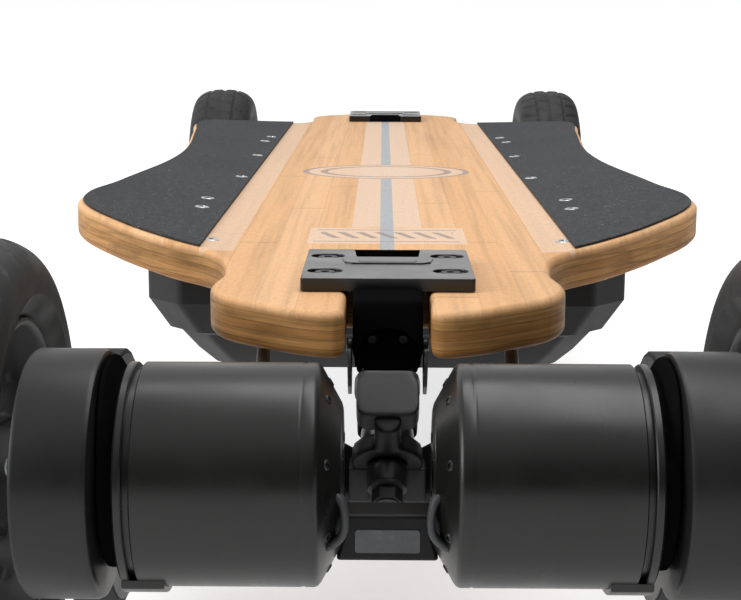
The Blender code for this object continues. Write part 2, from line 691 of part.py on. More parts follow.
def build():
    clear_scene()
    board = empty("board", None, (0, CENTRE_Y, 0))
    build_deck(board)
    build_grips(board)
    build_enclosure(board)
    build_electronics(board)
    for end in ("rear", "front"):
        build_truck(end, board)
        for side in ("left", "right"):
            build_wheel(end, side, board)
    for side in ("left", "right"):
        build_drive(side, board)
    build_brace(board)
    build_cables(board)


build()
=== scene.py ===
"""Looks of the electric skateboard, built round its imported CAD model. Shapes are in millimetres, in its frame."""

from math import acos, atan2, cos, hypot, pi, radians, sin

import bmesh
import bpy
from mathutils import Matrix, Vector


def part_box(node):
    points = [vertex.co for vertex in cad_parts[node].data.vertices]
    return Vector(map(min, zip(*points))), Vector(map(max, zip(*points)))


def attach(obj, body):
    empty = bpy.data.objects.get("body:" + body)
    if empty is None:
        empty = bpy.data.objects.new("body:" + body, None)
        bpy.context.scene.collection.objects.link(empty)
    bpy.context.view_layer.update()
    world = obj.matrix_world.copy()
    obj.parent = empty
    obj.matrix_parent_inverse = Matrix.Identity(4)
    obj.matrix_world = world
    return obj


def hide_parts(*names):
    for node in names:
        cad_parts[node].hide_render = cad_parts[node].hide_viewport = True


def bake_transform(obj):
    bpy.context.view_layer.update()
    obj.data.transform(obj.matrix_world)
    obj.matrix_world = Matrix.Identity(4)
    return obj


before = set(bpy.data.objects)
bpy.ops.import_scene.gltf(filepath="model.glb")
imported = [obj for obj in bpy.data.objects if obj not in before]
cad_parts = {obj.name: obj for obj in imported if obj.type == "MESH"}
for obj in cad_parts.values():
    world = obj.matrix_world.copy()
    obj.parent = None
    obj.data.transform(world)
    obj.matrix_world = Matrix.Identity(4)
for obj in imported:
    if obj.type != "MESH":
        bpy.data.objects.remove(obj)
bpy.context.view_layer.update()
MM = 0.001
SIDES = (("left", -1), ("right", 1))


def box(node):
    low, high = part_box(node)
    return Vector(low) / MM, Vector(high) / MM


def middle(node):
    low, high = box(node)
    return (low + high) / 2


# ---- places, read from the CAD or given ----

CENTRE_Y = middle("deck").y
DECK_BOTTOM = box("deck")[0].z
DECK_THICK = 17.0
DECK_TOP = DECK_BOTTOM + DECK_THICK
CONCAVE_START, CONCAVE_REACH, CONCAVE_RISE, CONCAVE_POWER = 60.0, 90.0, 9.0, 1.5
GRIP_INNER = 81.5
GRIP_INSET = 2.5
GRIP_END = 358 - GRIP_INSET
GRIP_BASE = 0.3
GRIP_THICK = 1.0
TYRE_R = middle("rear_left_tyre").z
TYRE_IN = box("rear_right_tyre")[0].x
TYRE_OUT = box("rear_right_tyre")[1].x
AXLE_Z = TYRE_R
PLATE_TOP = box("rear_truck_plate")[1].z
PLATE_EDGE = 454.65
PLATE_LENGTH = 69.2
PLATE_HALF = 32.65
PLATE_THICK = 5.0
NECK_HALF = 12.75
UPPER_PIVOT = (-4.0, 114.0)
LOWER_PIVOT = (40.0, 100.0)
AXLE_OUT = 22.8
MOTOR = middle("left_motor_can")
MOTOR_OUT = box("right_motor_can")[1].x
MOUNT_OUT = box("right_motor_mount")[1].x
FLIP = Matrix.Rotation(radians(180), 4, "X")


def move(x, y, z):
    return Matrix.Translation((x, y, z))


def turn(degrees, axis):
    return Matrix.Rotation(radians(degrees), 4, axis)


def truck(end):
    """Truck coordinates: X across, Y outwards from the plate's outer edge, Z up."""
    facing = 1 if end == "front" else -1
    return move(0, CENTRE_Y + facing * PLATE_EDGE, 0) @ turn(0 if end == "front" else 180, "Z")


def stage(end, pivot):
    """Pivot coordinates: Y along the pivot's nose, Z along its kingpin."""
    return truck(end) @ move(0, *pivot) @ turn(45, "X")


def along_x(sign, y, z):
    """Local Z points outwards along world X."""
    return move(0, y, z) @ turn(sign * 90, "Y")


def wheel(end, sign):
    return along_x(sign, middle(f"{end}_axle").y, AXLE_Z)


def lift(x):
    """How far the concave raises the deck at x."""
    return CONCAVE_RISE * (max(abs(x) - CONCAVE_START, 0.0) / CONCAVE_REACH) ** CONCAVE_POWER


def across(sign):
    """Local X lies along world Y, local Y stands up and local Z points outwards."""
    return Matrix(((0, 0, sign, 0), (1, 0, 0, 0), (0, 1, 0, 0), (0, 0, 0, 1)))


def facing_back(y):
    """Local X stays, local Y stands up and local Z points backwards from y."""
    return Matrix(((1, 0, 0, 0), (0, 0, -1, y), (0, 1, 0, 0), (0, 0, 0, 1)))


# ---- shapes ----

def circle(radius, height, steps):
    return [(radius * cos(2 * pi * i / steps), radius * sin(2 * pi * i / steps), height) for i in range(steps)]


class Shape:
    """A mesh being built, in millimetres."""

    def __init__(self):
        self.bm = bmesh.new()

    def lathe(self, profile, at=Matrix(), steps=96):
        """Turns a closed profile of (radius, height) points round local Z."""
        rows = []
        for radius, height in profile:
            points = [(0, 0, height)] if radius < 1e-6 else circle(radius, height, steps)
            rows.append([self.bm.verts.new(at @ Vector(p)) for p in points])
        for a, b in zip(rows, rows[1:] + rows[:1]):
            for i in range(steps):
                j = (i + 1) % steps
                corners = [a[i % len(a)], a[j % len(a)], b[j % len(b)], b[i % len(b)]]
                face = [v for k, v in enumerate(corners) if v not in corners[:k]]
                if len(face) > 2:
                    self.bm.faces.new(face)
        return self

    def rod(self, radius, low, high, at=Matrix(), steps=32, chamfer=0.0):
        c = chamfer
        profile = [(0, low), (radius - c, low), (radius, low + c), (radius, high - c), (radius - c, high), (0, high)]
        if not c:
            profile = [(0, low), (radius, low), (radius, high), (0, high)]
        return self.lathe(profile, at, steps)

    def ring(self, inner, outer, low, high, at, steps=48):
        return self.lathe([(inner, low), (outer, low), (outer, high), (inner, high)], at, steps)

    def prism(self, outline, low, high, at=Matrix()):
        """An outline in local XY, from height low to high."""
        return self.loft([[at @ Vector((x, y, z)) for x, y in outline] for z in (low, high)])

    def block(self, low, high, at=Matrix(), corner=0.0):
        """A box with its upright edges rounded."""
        return self.prism(rounded([(low[0], low[1]), (high[0], low[1]), (high[0], high[1]), (low[0], high[1])],
                                  corner), low[2], high[2], at)

    def loft(self, rows, ring=False):
        """Joins closed loops of points that have the same count. A ring joins its last loop to its first."""
        made = [[self.bm.verts.new(Vector(p)) for p in row] for row in rows]
        count = len(made[0])
        for a, b in zip(made, made[1:] + (made[:1] if ring else [])):
            for i in range(count):
                j = (i + 1) % count
                self.bm.faces.new((a[i], a[j], b[j], b[i]))
        if not ring:
            self.bm.faces.new(list(reversed(made[0])))
            self.bm.faces.new(made[-1])
        return self

    def tube(self, points, radius, steps=16):
        """A round tube along points, with both ends closed."""
        points = [Vector(p) for p in points]
        side = None
        rows = []
        for i, p in enumerate(points):
            ahead = (points[min(i + 1, len(points) - 1)] - points[max(i - 1, 0)]).normalized()
            if side is None:
                side = ahead.orthogonal().normalized()
            side = (side - ahead * side.dot(ahead)).normalized()
            up = ahead.cross(side)
            rows.append([p + radius * (cos(2 * pi * k / steps) * side + sin(2 * pi * k / steps) * up)
                         for k in range(steps)])
        return self.loft(rows)

    def mesh(self, name):
        bmesh.ops.recalc_face_normals(self.bm, faces=self.bm.faces)
        made = bpy.data.meshes.new(name)
        self.bm.to_mesh(made)
        self.bm.free()
        made.transform(Matrix.Scale(MM, 4))
        return made


def rounded(corners, radius, steps=5):
    """A polygon with its corners rounded."""
    if not radius:
        return corners
    out = []
    count = len(corners)
    for i, corner in enumerate(corners):
        here = Vector(corner)
        before = (Vector(corners[i - 1]) - here).normalized()
        after = (Vector(corners[(i + 1) % count]) - here).normalized()
        half = before.angle(after) / 2
        reach = radius / max(0.05, abs(sin(half) / cos(half))) if half < 1.55 else 0
        start, end = here + before * reach, here + after * reach
        for k in range(steps + 1):
            t = k / steps
            out.append(tuple(start * (1 - t) ** 2 + here * 2 * t * (1 - t) + end * t ** 2))
    return out


def hexagon(across):
    r = across / 2 / cos(pi / 6)
    return [(r * cos(pi / 3 * i), r * sin(pi / 3 * i)) for i in range(6)]


def arc(centre, radius, start, end, count):
    steps = [start + (end - start) * i / (count - 1) for i in range(count)]
    return [(centre[0] + radius * cos(t), centre[1] + radius * sin(t)) for t in steps]


def wrapped(first, first_r, second, second_r, count=48):
    """The outline of a band stretched round two circles."""
    dx, dy = second[0] - first[0], second[1] - first[1]
    heading = atan2(dy, dx)
    spread = acos((first_r - second_r) / hypot(dx, dy))
    return (arc(first, first_r, heading + spread, heading + 2 * pi - spread, count)
            + arc(second, second_r, heading - spread, heading + spread, count // 2))


def evaluated(thing):
    """A new mesh of thing with its modifiers applied."""
    bpy.context.view_layer.update()
    return bpy.data.meshes.new_from_object(thing.evaluated_get(bpy.context.evaluated_depsgraph_get()))


def settle(thing):
    """Applies the modifiers."""
    made = evaluated(thing)
    made.name = thing.name
    thing.modifiers.clear()
    thing.data = made
    return thing


def link(name, mesh):
    thing = bpy.data.objects.new(name, mesh)
    bpy.context.scene.collection.objects.link(thing)
    return thing


def soften(thing, width, segments=3, angle=32):
    """Rounds the edges."""
    step = thing.modifiers.new("edges", "BEVEL")
    step.width = width * MM
    step.segments = segments
    step.limit_method = "ANGLE"
    step.angle_limit = radians(angle)
    step.miter_outer = "MITER_ARC"
    step.use_clamp_overlap = True
    return settle(thing)


def shade(thing, angle=38):
    thing.data.shade_smooth()
    thing.data.set_sharp_from_angle(angle=radians(angle))
    step = thing.modifiers.new("normals", "WEIGHTED_NORMAL")
    step.keep_sharp = True
    step.weight = 50
    return thing


def melt(thing, voxel, rounds):
    """Turns joined shapes into one casting with filleted joins."""
    step = thing.modifiers.new("melt", "REMESH")
    step.mode = "VOXEL"
    step.voxel_size = voxel * MM
    step = thing.modifiers.new("flow", "SMOOTH")
    step.factor = 0.5
    step.iterations = rounds
    return settle(thing)


def cut(thing, *tools):
    """Takes the tools' shapes out of thing."""
    for i, tool in enumerate(tools):
        other = link(f"{thing.name}_tool{i}", tool.mesh("tool"))
        step = thing.modifiers.new("cut", "BOOLEAN")
        step.operation = "DIFFERENCE"
        step.solver = "EXACT"
        step.object = other
        settle(thing)
        bpy.data.objects.remove(other, do_unlink=True)
    return thing


SLOTS = {name: "bolt_steel" for name in ("screw_steel", "dark_bolt", "black_bolt", "ear_steel")}
SLOTS.update({name: "truck_metal" for name in ("plate_metal", "neck_metal", "link_metal")})


def piece(name, shape, paint, body, replaces=(), bevel=0.0, angle=38, segments=3):
    """A finished piece of the visual model.

    Blender adds a number to a paint's name where the CAD has a material of that name, so the number is left off."""
    thing = link(name, shape.mesh(name)) if isinstance(shape, Shape) else shape
    if bevel:
        soften(thing, bevel, segments)
    thing.data.materials.clear()
    thing.data.materials.append(paint)
    shade(thing, angle)
    if body:
        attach(thing, body)
    plain = paint.name.split(".")[0]
    if replaces:
        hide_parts(*replaces)
    return thing


# ---- materials ----

COAT_ROUGH = 0.25
SLAT_WIDTH = 0.0165
KNOT_SPACING = 0.27
PLY_THICK = 0.0034
WRAP_PITCH = 0.0212
WIRE_PITCH = 0.0009


def linear(*srgb):
    """A colour given as 0 to 255 display values."""
    return tuple(((c / 255) / 12.92 if c / 255 <= 0.04045 else ((c / 255 + 0.055) / 1.055) ** 2.4) for c in srgb)


class Field:
    """A number that nodes work out. Each sum on it makes one math node."""

    def __init__(self, graph, socket):
        self.graph, self.socket = graph, socket

    def __add__(self, other):
        return self.graph.math("ADD", self, other)

    def __sub__(self, other):
        return self.graph.math("SUBTRACT", self, other)

    def __mul__(self, other):
        return self.graph.math("MULTIPLY", self, other)

    def __truediv__(self, other):
        return self.graph.math("DIVIDE", self, other)

    def __pow__(self, other):
        return self.graph.math("POWER", self, other)

    def __lt__(self, other):
        return self.graph.math("LESS_THAN", self, other)

    def __gt__(self, other):
        return self.graph.math("GREATER_THAN", self, other)

    def __or__(self, other):
        """The larger of the two."""
        return self.graph.math("MAXIMUM", self, other)

    def __abs__(self):
        return self.graph.math("ABSOLUTE", self)

    def inside(self, low, high):
        return (self > low) * (self < high)


class Graph:
    """A node tree being built."""

    def __init__(self, tree):
        self.tree = tree

    def node(self, kind, **inputs):
        made = self.tree.nodes.new(kind)
        for key, value in inputs.items():
            self.feed(made.inputs[key], value)
        return made

    def feed(self, socket, value):
        value = value.socket if isinstance(value, Field) else value
        if isinstance(value, bpy.types.NodeSocket):
            self.tree.links.new(value, socket)
        else:
            socket.default_value = value

    def math(self, operation, *values):
        made = self.node("ShaderNodeMath")
        made.operation = operation
        for socket, value in zip(made.inputs, values):
            self.feed(socket, value)
        return Field(self, made.outputs[0])

    def split(self, vector):
        return [Field(self, part) for part in self.node("ShaderNodeSeparateXYZ", Vector=vector).outputs]

    def remap(self, value, low, high, to_low=0.0, to_high=1.0):
        made = self.node("ShaderNodeMapRange")
        for socket, v in zip(made.inputs, (value, low, high, to_low, to_high)):
            self.feed(socket, v)
        return Field(self, made.outputs[0])


class Paint(Graph):
    """A node material being built."""

    def __init__(self, name, rough=0.5, metal=0.0, coat=0.0, gloss=0.5):
        self.mat = bpy.data.materials.new(name)
        self.mat.use_nodes = True
        super().__init__(self.mat.node_tree)
        self.shader = self.tree.nodes["Principled BSDF"]
        for socket, value in (("Roughness", rough), ("Metallic", metal), ("Specular IOR Level", gloss),
                              ("Coat Weight", coat), ("Coat Roughness", COAT_ROUGH)):
            self.shader.inputs[socket].default_value = value
        self.place = self.node("ShaderNodeTexCoord").outputs["Object"]
        self.x, self.y, self.z = self.split(self.place)

    def stretch(self, sx, sy, sz, offset=(0, 0, 0)):
        return self.node("ShaderNodeMapping", Vector=self.place, Scale=(sx, sy, sz), Location=offset).outputs[0]

    def noise(self, scale, detail=3.0, vector=None, rough=0.55):
        made = self.node("ShaderNodeTexNoise", Vector=vector or self.place, Scale=scale, Detail=detail,
                         Roughness=rough)
        return Field(self, made.outputs["Fac"])

    def cells(self, scale):
        return Field(self, self.node("ShaderNodeTexVoronoi", Vector=self.place, Scale=scale).outputs["Distance"])

    def random(self, value):
        """A random number for each value."""
        vector = self.node("ShaderNodeCombineXYZ", X=value).outputs[0]
        return Field(self, self.node("ShaderNodeTexWhiteNoise", Vector=vector).outputs["Value"])

    def mix(self, factor, a, b, blend="MIX"):
        made = self.node("ShaderNodeMix")
        made.data_type = "RGBA"
        made.blend_type = blend
        for socket, v in zip((made.inputs[0], made.inputs[6], made.inputs[7]), (factor, a, b)):
            self.feed(socket, (*v, 1) if isinstance(v, tuple) else v)
        return made.outputs[2]

    def dark(self, factor, colour, amount):
        """colour made darker by amount where factor is 1."""
        return self.mix(factor, colour, self.mix(1.0, colour, (1 - amount,) * 3, "MULTIPLY"))

    def bump(self, height, strength, distance):
        made = self.node("ShaderNodeBump", Height=height, Strength=strength, Distance=distance * MM)
        last = self.shader.inputs["Normal"]
        if last.is_linked:
            self.tree.links.new(last.links[0].from_socket, made.inputs["Normal"])
        self.tree.links.new(made.outputs[0], last)

    def done(self, colour, rough=None):
        self.feed(self.shader.inputs["Base Color"], (*colour, 1) if isinstance(colour, tuple) else colour)
        if rough is not None:
            self.feed(self.shader.inputs["Roughness"], rough)
        return self.mat


def times(colour, factor):
    return tuple(min(1, c * factor) for c in colour)


def coated(name, colour, rough, metal=0.0, grain=900, grain_depth=0.03, vary=0.15, wear=0.0, coat=0.0, gloss=0.5):
    """A moulded, cast or painted finish: fine grain, slow colour change, dust in patches and uneven gloss."""
    p = Paint(name, rough, metal, coat, gloss)
    slow = p.noise(14, 4)
    fine = p.noise(grain, 2)
    tone = p.mix(p.remap(slow, 0.3, 0.7), times(colour, 1 - vary), times(colour, 1 + vary))
    tone = p.dark(p.remap(fine, 0.35, 0.65), tone, 0.10)
    if wear:
        spots = p.remap(p.noise(55, 6, rough=0.7), 0.60, 0.68)
        tone = p.mix(spots * wear, tone, tuple(min(1, c * 2.2 + 0.02) for c in colour))
    p.bump(fine, 0.5, grain_depth)
    return p.done(tone, p.remap(p.noise(38, 5), 0.3, 0.7, rough - 0.08, rough + 0.08))


def turned_metal(name, colour, rough):
    """Machined metal with fine lines round its axis, which lies along world X."""
    p = Paint(name, rough, 1.0)
    rings = p.noise(1.0, 2, p.stretch(2200, 6, 6))
    tone = p.mix(p.remap(rings, 0.3, 0.7), times(colour, 0.82), times(colour, 1.12))
    p.bump(rings, 0.35, 0.02)
    return p.done(tone, p.remap(p.noise(60, 4), 0.3, 0.7, rough - 0.06, rough + 0.08))


def bamboo():
    """Bamboo deck: slats along its length, plies on its edge, fine clear grit and printed stripes on top."""
    p = Paint("bamboo", 0.5, gloss=0.14)
    beside = abs(p.x)
    rise = (((beside - CONCAVE_START * MM) | 0.0) / (CONCAVE_REACH * MM)) ** CONCAVE_POWER * (CONCAVE_RISE * MM)
    depth = rise + DECK_TOP * MM - p.z

    slat = p.x / SLAT_WIDTH
    tint = p.random(p.math("FLOOR", slat))
    grain = p.noise(1.0, 5, p.stretch(260, 5, 60))
    wide_grain = p.noise(1.0, 3, p.stretch(70, 3, 60, (4, 1, 0)))
    top = p.mix(tint, linear(217, 166, 116), linear(229, 183, 137))
    top = p.dark(p.remap(grain, 0.46, 0.66), top, 0.16)
    top = p.dark(p.remap(wide_grain, 0.5, 0.72), top, 0.12)
    top = p.dark(p.math("FRACT", slat).inside(0.0, 0.035), top, 0.10)
    knot = p.math("FRACT", (tint * 0.31 + p.y) / KNOT_SPACING).inside(0.0, 0.008)
    top = p.dark(knot, top, 0.22)

    # Printed stripes, panel and ovals
    pale = linear(219, 191, 167)
    stripe = (beside < 0.0167) * p.y.inside(-0.277, 0.398)
    edge_stripe = beside.inside(0.0668, 0.0815) * p.y.inside(-0.352, 0.368)
    panel = (beside < 0.036) * p.y.inside(-0.328, -0.279)
    top = p.mix((stripe | panel) * 0.85, top, pale)
    top = p.mix(edge_stripe * 0.62, top, pale)
    line = (beside < 0.0032) * p.y.inside(-0.392, 0.410)
    slant = p.math("FRACT", (p.x + p.y * 0.4) / 0.0088)
    dashes = slant.inside(0.0, 0.42) * ((beside < 0.031) * p.y.inside(-0.312, -0.293))
    rules = (beside < 0.033) * (p.y.inside(-0.3225, -0.3205) | p.y.inside(-0.2870, -0.2850))
    oval = p.math("SQRT", (beside / 0.053) ** 2.0 + (abs(p.y + 0.027) / 0.0415) ** 2.0)
    rings = oval.inside(0.93, 1.0) | oval.inside(0.70, 0.79)
    top = p.mix((oval < 1.0) * 0.8, top, pale)
    top = p.mix(line * (oval > 1.0) * 0.9, top, linear(158, 166, 172))
    top = p.mix((rings | (rules | dashes)) * 0.72, top, linear(134, 122, 118))

    # Clear grit
    top = p.mix(p.remap(p.cells(1150), 0.30, 0.16) * 0.16, top, linear(255, 244, 226))
    top = p.dark(p.remap(p.noise(620, 3), 0.52, 0.66), top, 0.13)

    # The edge's plies
    ply = depth / PLY_THICK
    edge = p.mix(p.random(p.math("FLOOR", ply)), linear(172, 122, 70), linear(204, 156, 98))
    edge = p.dark(p.remap(p.noise(1.0, 4, p.stretch(28, 28, 900)), 0.42, 0.68), edge, 0.38)
    edge = p.dark(p.remap(p.noise(1.0, 5, p.stretch(38, 38, 120)), 0.45, 0.75), edge, 0.42)
    edge = p.dark(p.math("FRACT", ply).inside(0.0, 0.10), edge, 0.35)
    colour = p.mix(p.remap(depth, 0.0012, 0.0040), top, edge)
    p.bump(p.noise(800, 2), 0.35, 0.12)
    p.bump(grain, 0.15, 0.08)
    return p.done(colour, p.remap(p.noise(500, 3), 0.3, 0.7, 0.42, 0.66))


def grip():
    """Black abrasive sheet, with bright flecks painted in as glints off its grit."""
    p = Paint("grip_tape", 0.85, gloss=0.25)
    coarse = p.noise(330, 4, rough=0.7)
    tone = p.mix(p.remap(coarse, 0.35, 0.65), linear(24, 25, 27), linear(74, 75, 78))
    tone = p.dark(p.remap(p.noise(9, 3), 0.4, 0.7), tone, 0.15)
    # Painted glints: bright flecks that stand in for light caught by the grit, scattered where the noise allows.
    painted_glint = p.remap(p.cells(700), 0.16, 0.06)
    glint_chance = p.remap(p.noise(240, 2), 0.52, 0.60)
    tone = p.mix(painted_glint * glint_chance, tone, linear(225, 225, 228))
    p.bump(p.noise(900, 4, rough=0.7), 0.9, 0.30)
    return p.done(tone, p.remap(coarse, 0.3, 0.7, 0.62, 0.95))


def rubber():
    """Moulded tyre rubber, dusty in patches."""
    level, rough = 0.017, 0.62
    p = Paint("tyre_rubber", rough)
    dust = p.remap(p.noise(22, 6, rough=0.65), 0.42, 0.75)
    tone = p.mix(dust * 0.5, (level, level, level * 1.02), (level * 2.3, level * 2.2, level * 2.1))
    fine = p.noise(650, 3)
    tone = p.dark(p.remap(fine, 0.4, 0.7), tone, 0.18)
    p.bump(fine, 0.5, 0.08)
    return p.done(tone, p.remap(p.noise(70, 4), 0.3, 0.7, rough - 0.08, rough + 0.14))


def wrap():
    """Heat-shrink round the battery cells: their row shows through as soft ribs."""
    p = Paint("battery_wrap", 0.35)
    ribs = abs(p.math("SINE", p.y * (pi / WRAP_PITCH)))
    tone = p.mix(p.remap(p.noise(45, 4), 0.3, 0.7), linear(24, 58, 96), linear(38, 78, 122))
    p.bump(ribs, 0.8, 1.2)
    p.bump(p.noise(120, 3), 0.3, 0.3)
    return p.done(tone)


def winding():
    """Enamelled copper wire."""
    p = Paint("copper", 0.32, 1.0)
    wire = abs(p.math("SINE", p.x * (pi / WIRE_PITCH)))
    tone = p.mix(p.remap(p.noise(200, 3), 0.3, 0.7), linear(150, 78, 44), linear(198, 118, 70))
    p.bump(wire, 0.8, 0.35)
    return p.done(tone)


def soft_plastic():
    """Bushing urethane, slightly glossy."""
    p = Paint("urethane", 0.38)
    tone = p.mix(p.remap(p.noise(40, 4), 0.3, 0.7), linear(20, 20, 21), linear(32, 31, 32))
    p.bump(p.noise(500, 2), 0.3, 0.05)
    p.shader.inputs["Subsurface Weight"].default_value = 0.05
    return p.done(tone, p.remap(p.noise(80, 3), 0.3, 0.7, 0.3, 0.48))


BAMBOO = bamboo()
GRIP = grip()
SHELL = coated("shell", linear(28, 29, 30), 0.55, gloss=0.3, grain=1400, grain_depth=0.05, wear=0.12)
SEAL = coated("seal_rubber", (0.012, 0.012, 0.012), 0.8, grain=700, grain_depth=0.06)
BATTERY = wrap()
CONTROLLER = coated("controller_case", linear(70, 72, 74), 0.42, 0.8, grain=700, wear=0.2)
PLASTIC = coated("port_plastic", (0.016, 0.016, 0.017), 0.48, grain=1000)
BUTTON = coated("button_plastic", linear(120, 122, 124), 0.4, 0.7, grain=1200)
TRUCK = coated("truck_metal", linear(15, 15, 16), 0.50, 0.0, gloss=0.25, grain=520, grain_depth=0.06, wear=0.18)
LINK = coated("link_metal", linear(34, 34, 35), 0.50, 0.0, grain=520, grain_depth=0.06, wear=0.15, gloss=0.4)
PLATE = coated("plate_metal", linear(17, 17, 18), 0.32, 0.0, grain=420, grain_depth=0.05, wear=0.25, coat=0.55,
               gloss=0.3)
AXLE = turned_metal("axle_steel", linear(178, 180, 184), 0.3)
# Painted shade: a copy of the truck metal with its shine taken out, for the neck, the plate pockets and the motor
# mounts, which sit in shade.
SHADED_METAL = coated("neck_metal", linear(15, 15, 16), 0.60, 0.0, gloss=0.0, grain=520, grain_depth=0.06, wear=0.10)
EAR = coated("ear_steel", linear(84, 85, 87), 0.42, 0.6, grain=600, wear=0.2)
BLACK_BOLT = coated("black_bolt", linear(22, 22, 23), 0.5, 0.0, gloss=0.3, grain=600, wear=0.15)
BOLT = coated("bolt_steel", linear(128, 130, 133), 0.34, 1.0, grain=600, wear=0.2)
SILVER = coated("screw_steel", linear(205, 206, 208), 0.28, 1.0, grain=600, wear=0.15)
DARK_BOLT = coated("dark_bolt", linear(46, 47, 48), 0.42, 0.6, grain=600, wear=0.25)
URETHANE = soft_plastic()
TYRE = rubber()
HUB = coated("hub_plastic", linear(58, 58, 60), 0.48, grain=900, wear=0.15)
GEAR = coated("gear_plastic", linear(52, 52, 53), 0.45, grain=900)
MOTOR_PAINT = coated("motor_metal", linear(20, 20, 19), 0.31, 0.0, grain=1600, grain_depth=0.02, vary=0.08, coat=0.1,
                     gloss=0.36)
COPPER = winding()
ROTOR = turned_metal("rotor_steel", linear(160, 161, 164), 0.34)
PULLEY = turned_metal("pulley_steel", linear(120, 121, 124), 0.38)
BELT = coated("belt_rubber", (0.014, 0.014, 0.014), 0.7, grain=1500, grain_depth=0.08)
COVER = coated("cover_plastic", linear(22, 22, 22), 0.40, gloss=0.34, grain=1500, grain_depth=0.04, vary=0.10)
SLEEVE = coated("cable_sleeve", linear(56, 57, 59), 0.55, grain=1300, grain_depth=0.10)


# ---- the camera ----

CAMERA_AT = (-0.0023, -1.0070, 0.2567)
CAMERA_TURNS = (-0.0074, 0.1904, 0.0043)
SENSOR_MM, FOCAL_MM = 36, 74.615


def place_camera():
    """A view from behind, low over the driven truck."""
    yaw, pitch, roll = CAMERA_TURNS
    ahead = Vector((sin(yaw) * cos(pitch), cos(yaw) * cos(pitch), -sin(pitch)))
    level = Vector((cos(yaw), -sin(yaw), 0))
    upright = level.cross(ahead)
    right = cos(roll) * level + sin(roll) * upright
    up = cos(roll) * upright - sin(roll) * level
    camera = link("camera", bpy.data.cameras.new("camera"))
    at = Matrix((right, up, -ahead)).transposed().to_4x4()
    at.translation = CAMERA_AT
    camera.matrix_world = at
    camera.data.sensor_width = SENSOR_MM
    camera.data.lens = FOCAL_MM
    camera.data.clip_start = 0.01
    bpy.context.scene.camera = camera


# ---- deck ----

def smooth_outline(points, resolution=12):
    """A closed curve through (x, y) points; a third item marks a sharp corner. Returns its points."""
    curve = bpy.data.curves.new("outline", "CURVE")
    curve.dimensions = "2D"
    spline = curve.splines.new("BEZIER")
    spline.bezier_points.add(len(points) - 1)
    for slot, point in zip(spline.bezier_points, points):
        slot.co = (point[0], point[1], 0)
        slot.handle_left_type = slot.handle_right_type = "VECTOR" if len(point) > 2 else "AUTO"
    spline.use_cyclic_u = True
    spline.resolution_u = resolution
    holder = link("outline", curve)
    mesh = evaluated(holder)
    bpy.data.objects.remove(holder, do_unlink=True)
    out = []
    for v in mesh.vertices:
        spot = (v.co.x, v.co.y)
        if not out or hypot(spot[0] - out[-1][0], spot[1] - out[-1][1]) > 0.02:
            out.append(spot)
    if hypot(out[0][0] - out[-1][0], out[0][1] - out[-1][1]) < 0.02:
        out.pop()
    return out


FOLDS, FOLD_SPACING = 20, 5
SLOT_CORNER = (15.4, 440.65, "corner")
WAIST = (138, 0)
WING = [(98, 345), (128, 310), (149.5, 274), (154.5, 244), (149, 175)]
TIP = [(15.4, 486.8, "corner"), (15.75, 488.56), (16.75, 490.05), (18.24, 491.05), (20, 491.4), (28, 489.3),
       (40, 481.5), (64.5, 455), (65.5, 405), (75, 367)]


def whole_outline(quarter, at_middle):
    rear = [(p[0], -p[1], *p[2:]) for p in quarter]
    right = rear + [at_middle] + list(reversed(quarter))
    return right + [(-p[0], p[1], *p[2:]) for p in reversed(right)]


def inset(outline, distance):
    """The outline moved towards its inside by distance."""
    count = len(outline)
    area = sum(a[0] * b[1] - b[0] * a[1] for a, b in zip(outline, outline[1:] + outline[:1]))
    inwards = 1 if area > 0 else -1
    out = []
    for i, (x, y) in enumerate(outline):
        before = (Vector((x, y)) - Vector(outline[i - 1])).normalized()
        after = (Vector(outline[(i + 1) % count]) - Vector((x, y))).normalized()
        first, second = Vector((-before.y, before.x)), Vector((-after.y, after.x))
        step = (first + second) * (inwards * distance / max(0.3, 1 + first.dot(second)))
        out.append((x + step.x, y + step.y))
    return out


def deck_plate(outline, low, high, rim, segments):
    """A flat plate with rounded rims, cut in strips across the concave and bent up."""
    turns = [radians(90) * k / segments for k in range(segments + 1)]
    levels = [(rim * (1 - sin(t)), low + rim * (1 - cos(t))) for t in turns]
    levels += [(rim * (1 - sin(t)), high - rim * (1 - cos(t))) for t in reversed(turns)]
    shape = Shape().loft([[(x, y + CENTRE_Y, z) for x, y in inset(outline, inwards)] for inwards, z in levels])
    bm = shape.bm
    for step in range(FOLDS):
        for side in (-1, 1):
            everything = list(bm.verts) + list(bm.edges) + list(bm.faces)
            fold = (side * (CONCAVE_START + FOLD_SPACING * step), 0, 0)
            bmesh.ops.bisect_plane(bm, geom=everything, plane_co=fold, plane_no=(1, 0, 0), dist=0.01)
    for v in bm.verts:
        v.co.z += lift(v.co.x)
    return shape


def build_deck():
    outline = smooth_outline(whole_outline([SLOT_CORNER] + TIP + WING, WAIST))
    deck = deck_plate(outline, DECK_BOTTOM, DECK_TOP, 2.8, 5)
    piece("deck_board", deck, BAMBOO, "deck_body", ["deck"], angle=50)
    wing = [(x - GRIP_INSET, y - (GRIP_INSET if y > 250 else 0)) for x, y in WING]
    edge = [(x, -y) for x, y in wing] + [(WAIST[0] - GRIP_INSET, 0)] + list(reversed(wing))
    half = [(GRIP_INNER, -GRIP_END, "corner")] + edge + [(GRIP_INNER, GRIP_END, "corner")]
    for side, sign in SIDES:
        sheet = deck_plate([(sign * x, y) for x, y in smooth_outline(half)], DECK_TOP + GRIP_BASE,
                           DECK_TOP + GRIP_BASE + GRIP_THICK, 0.35, 2)
        piece(f"grip_sheet_{side}", sheet, GRIP, "deck_body", [f"grip_{side}"], angle=50)


WING_SCREWS = ((79, -324), (94, -231), (87, -86), (88, 46), (91, 154), (89, 194), (95, -196))


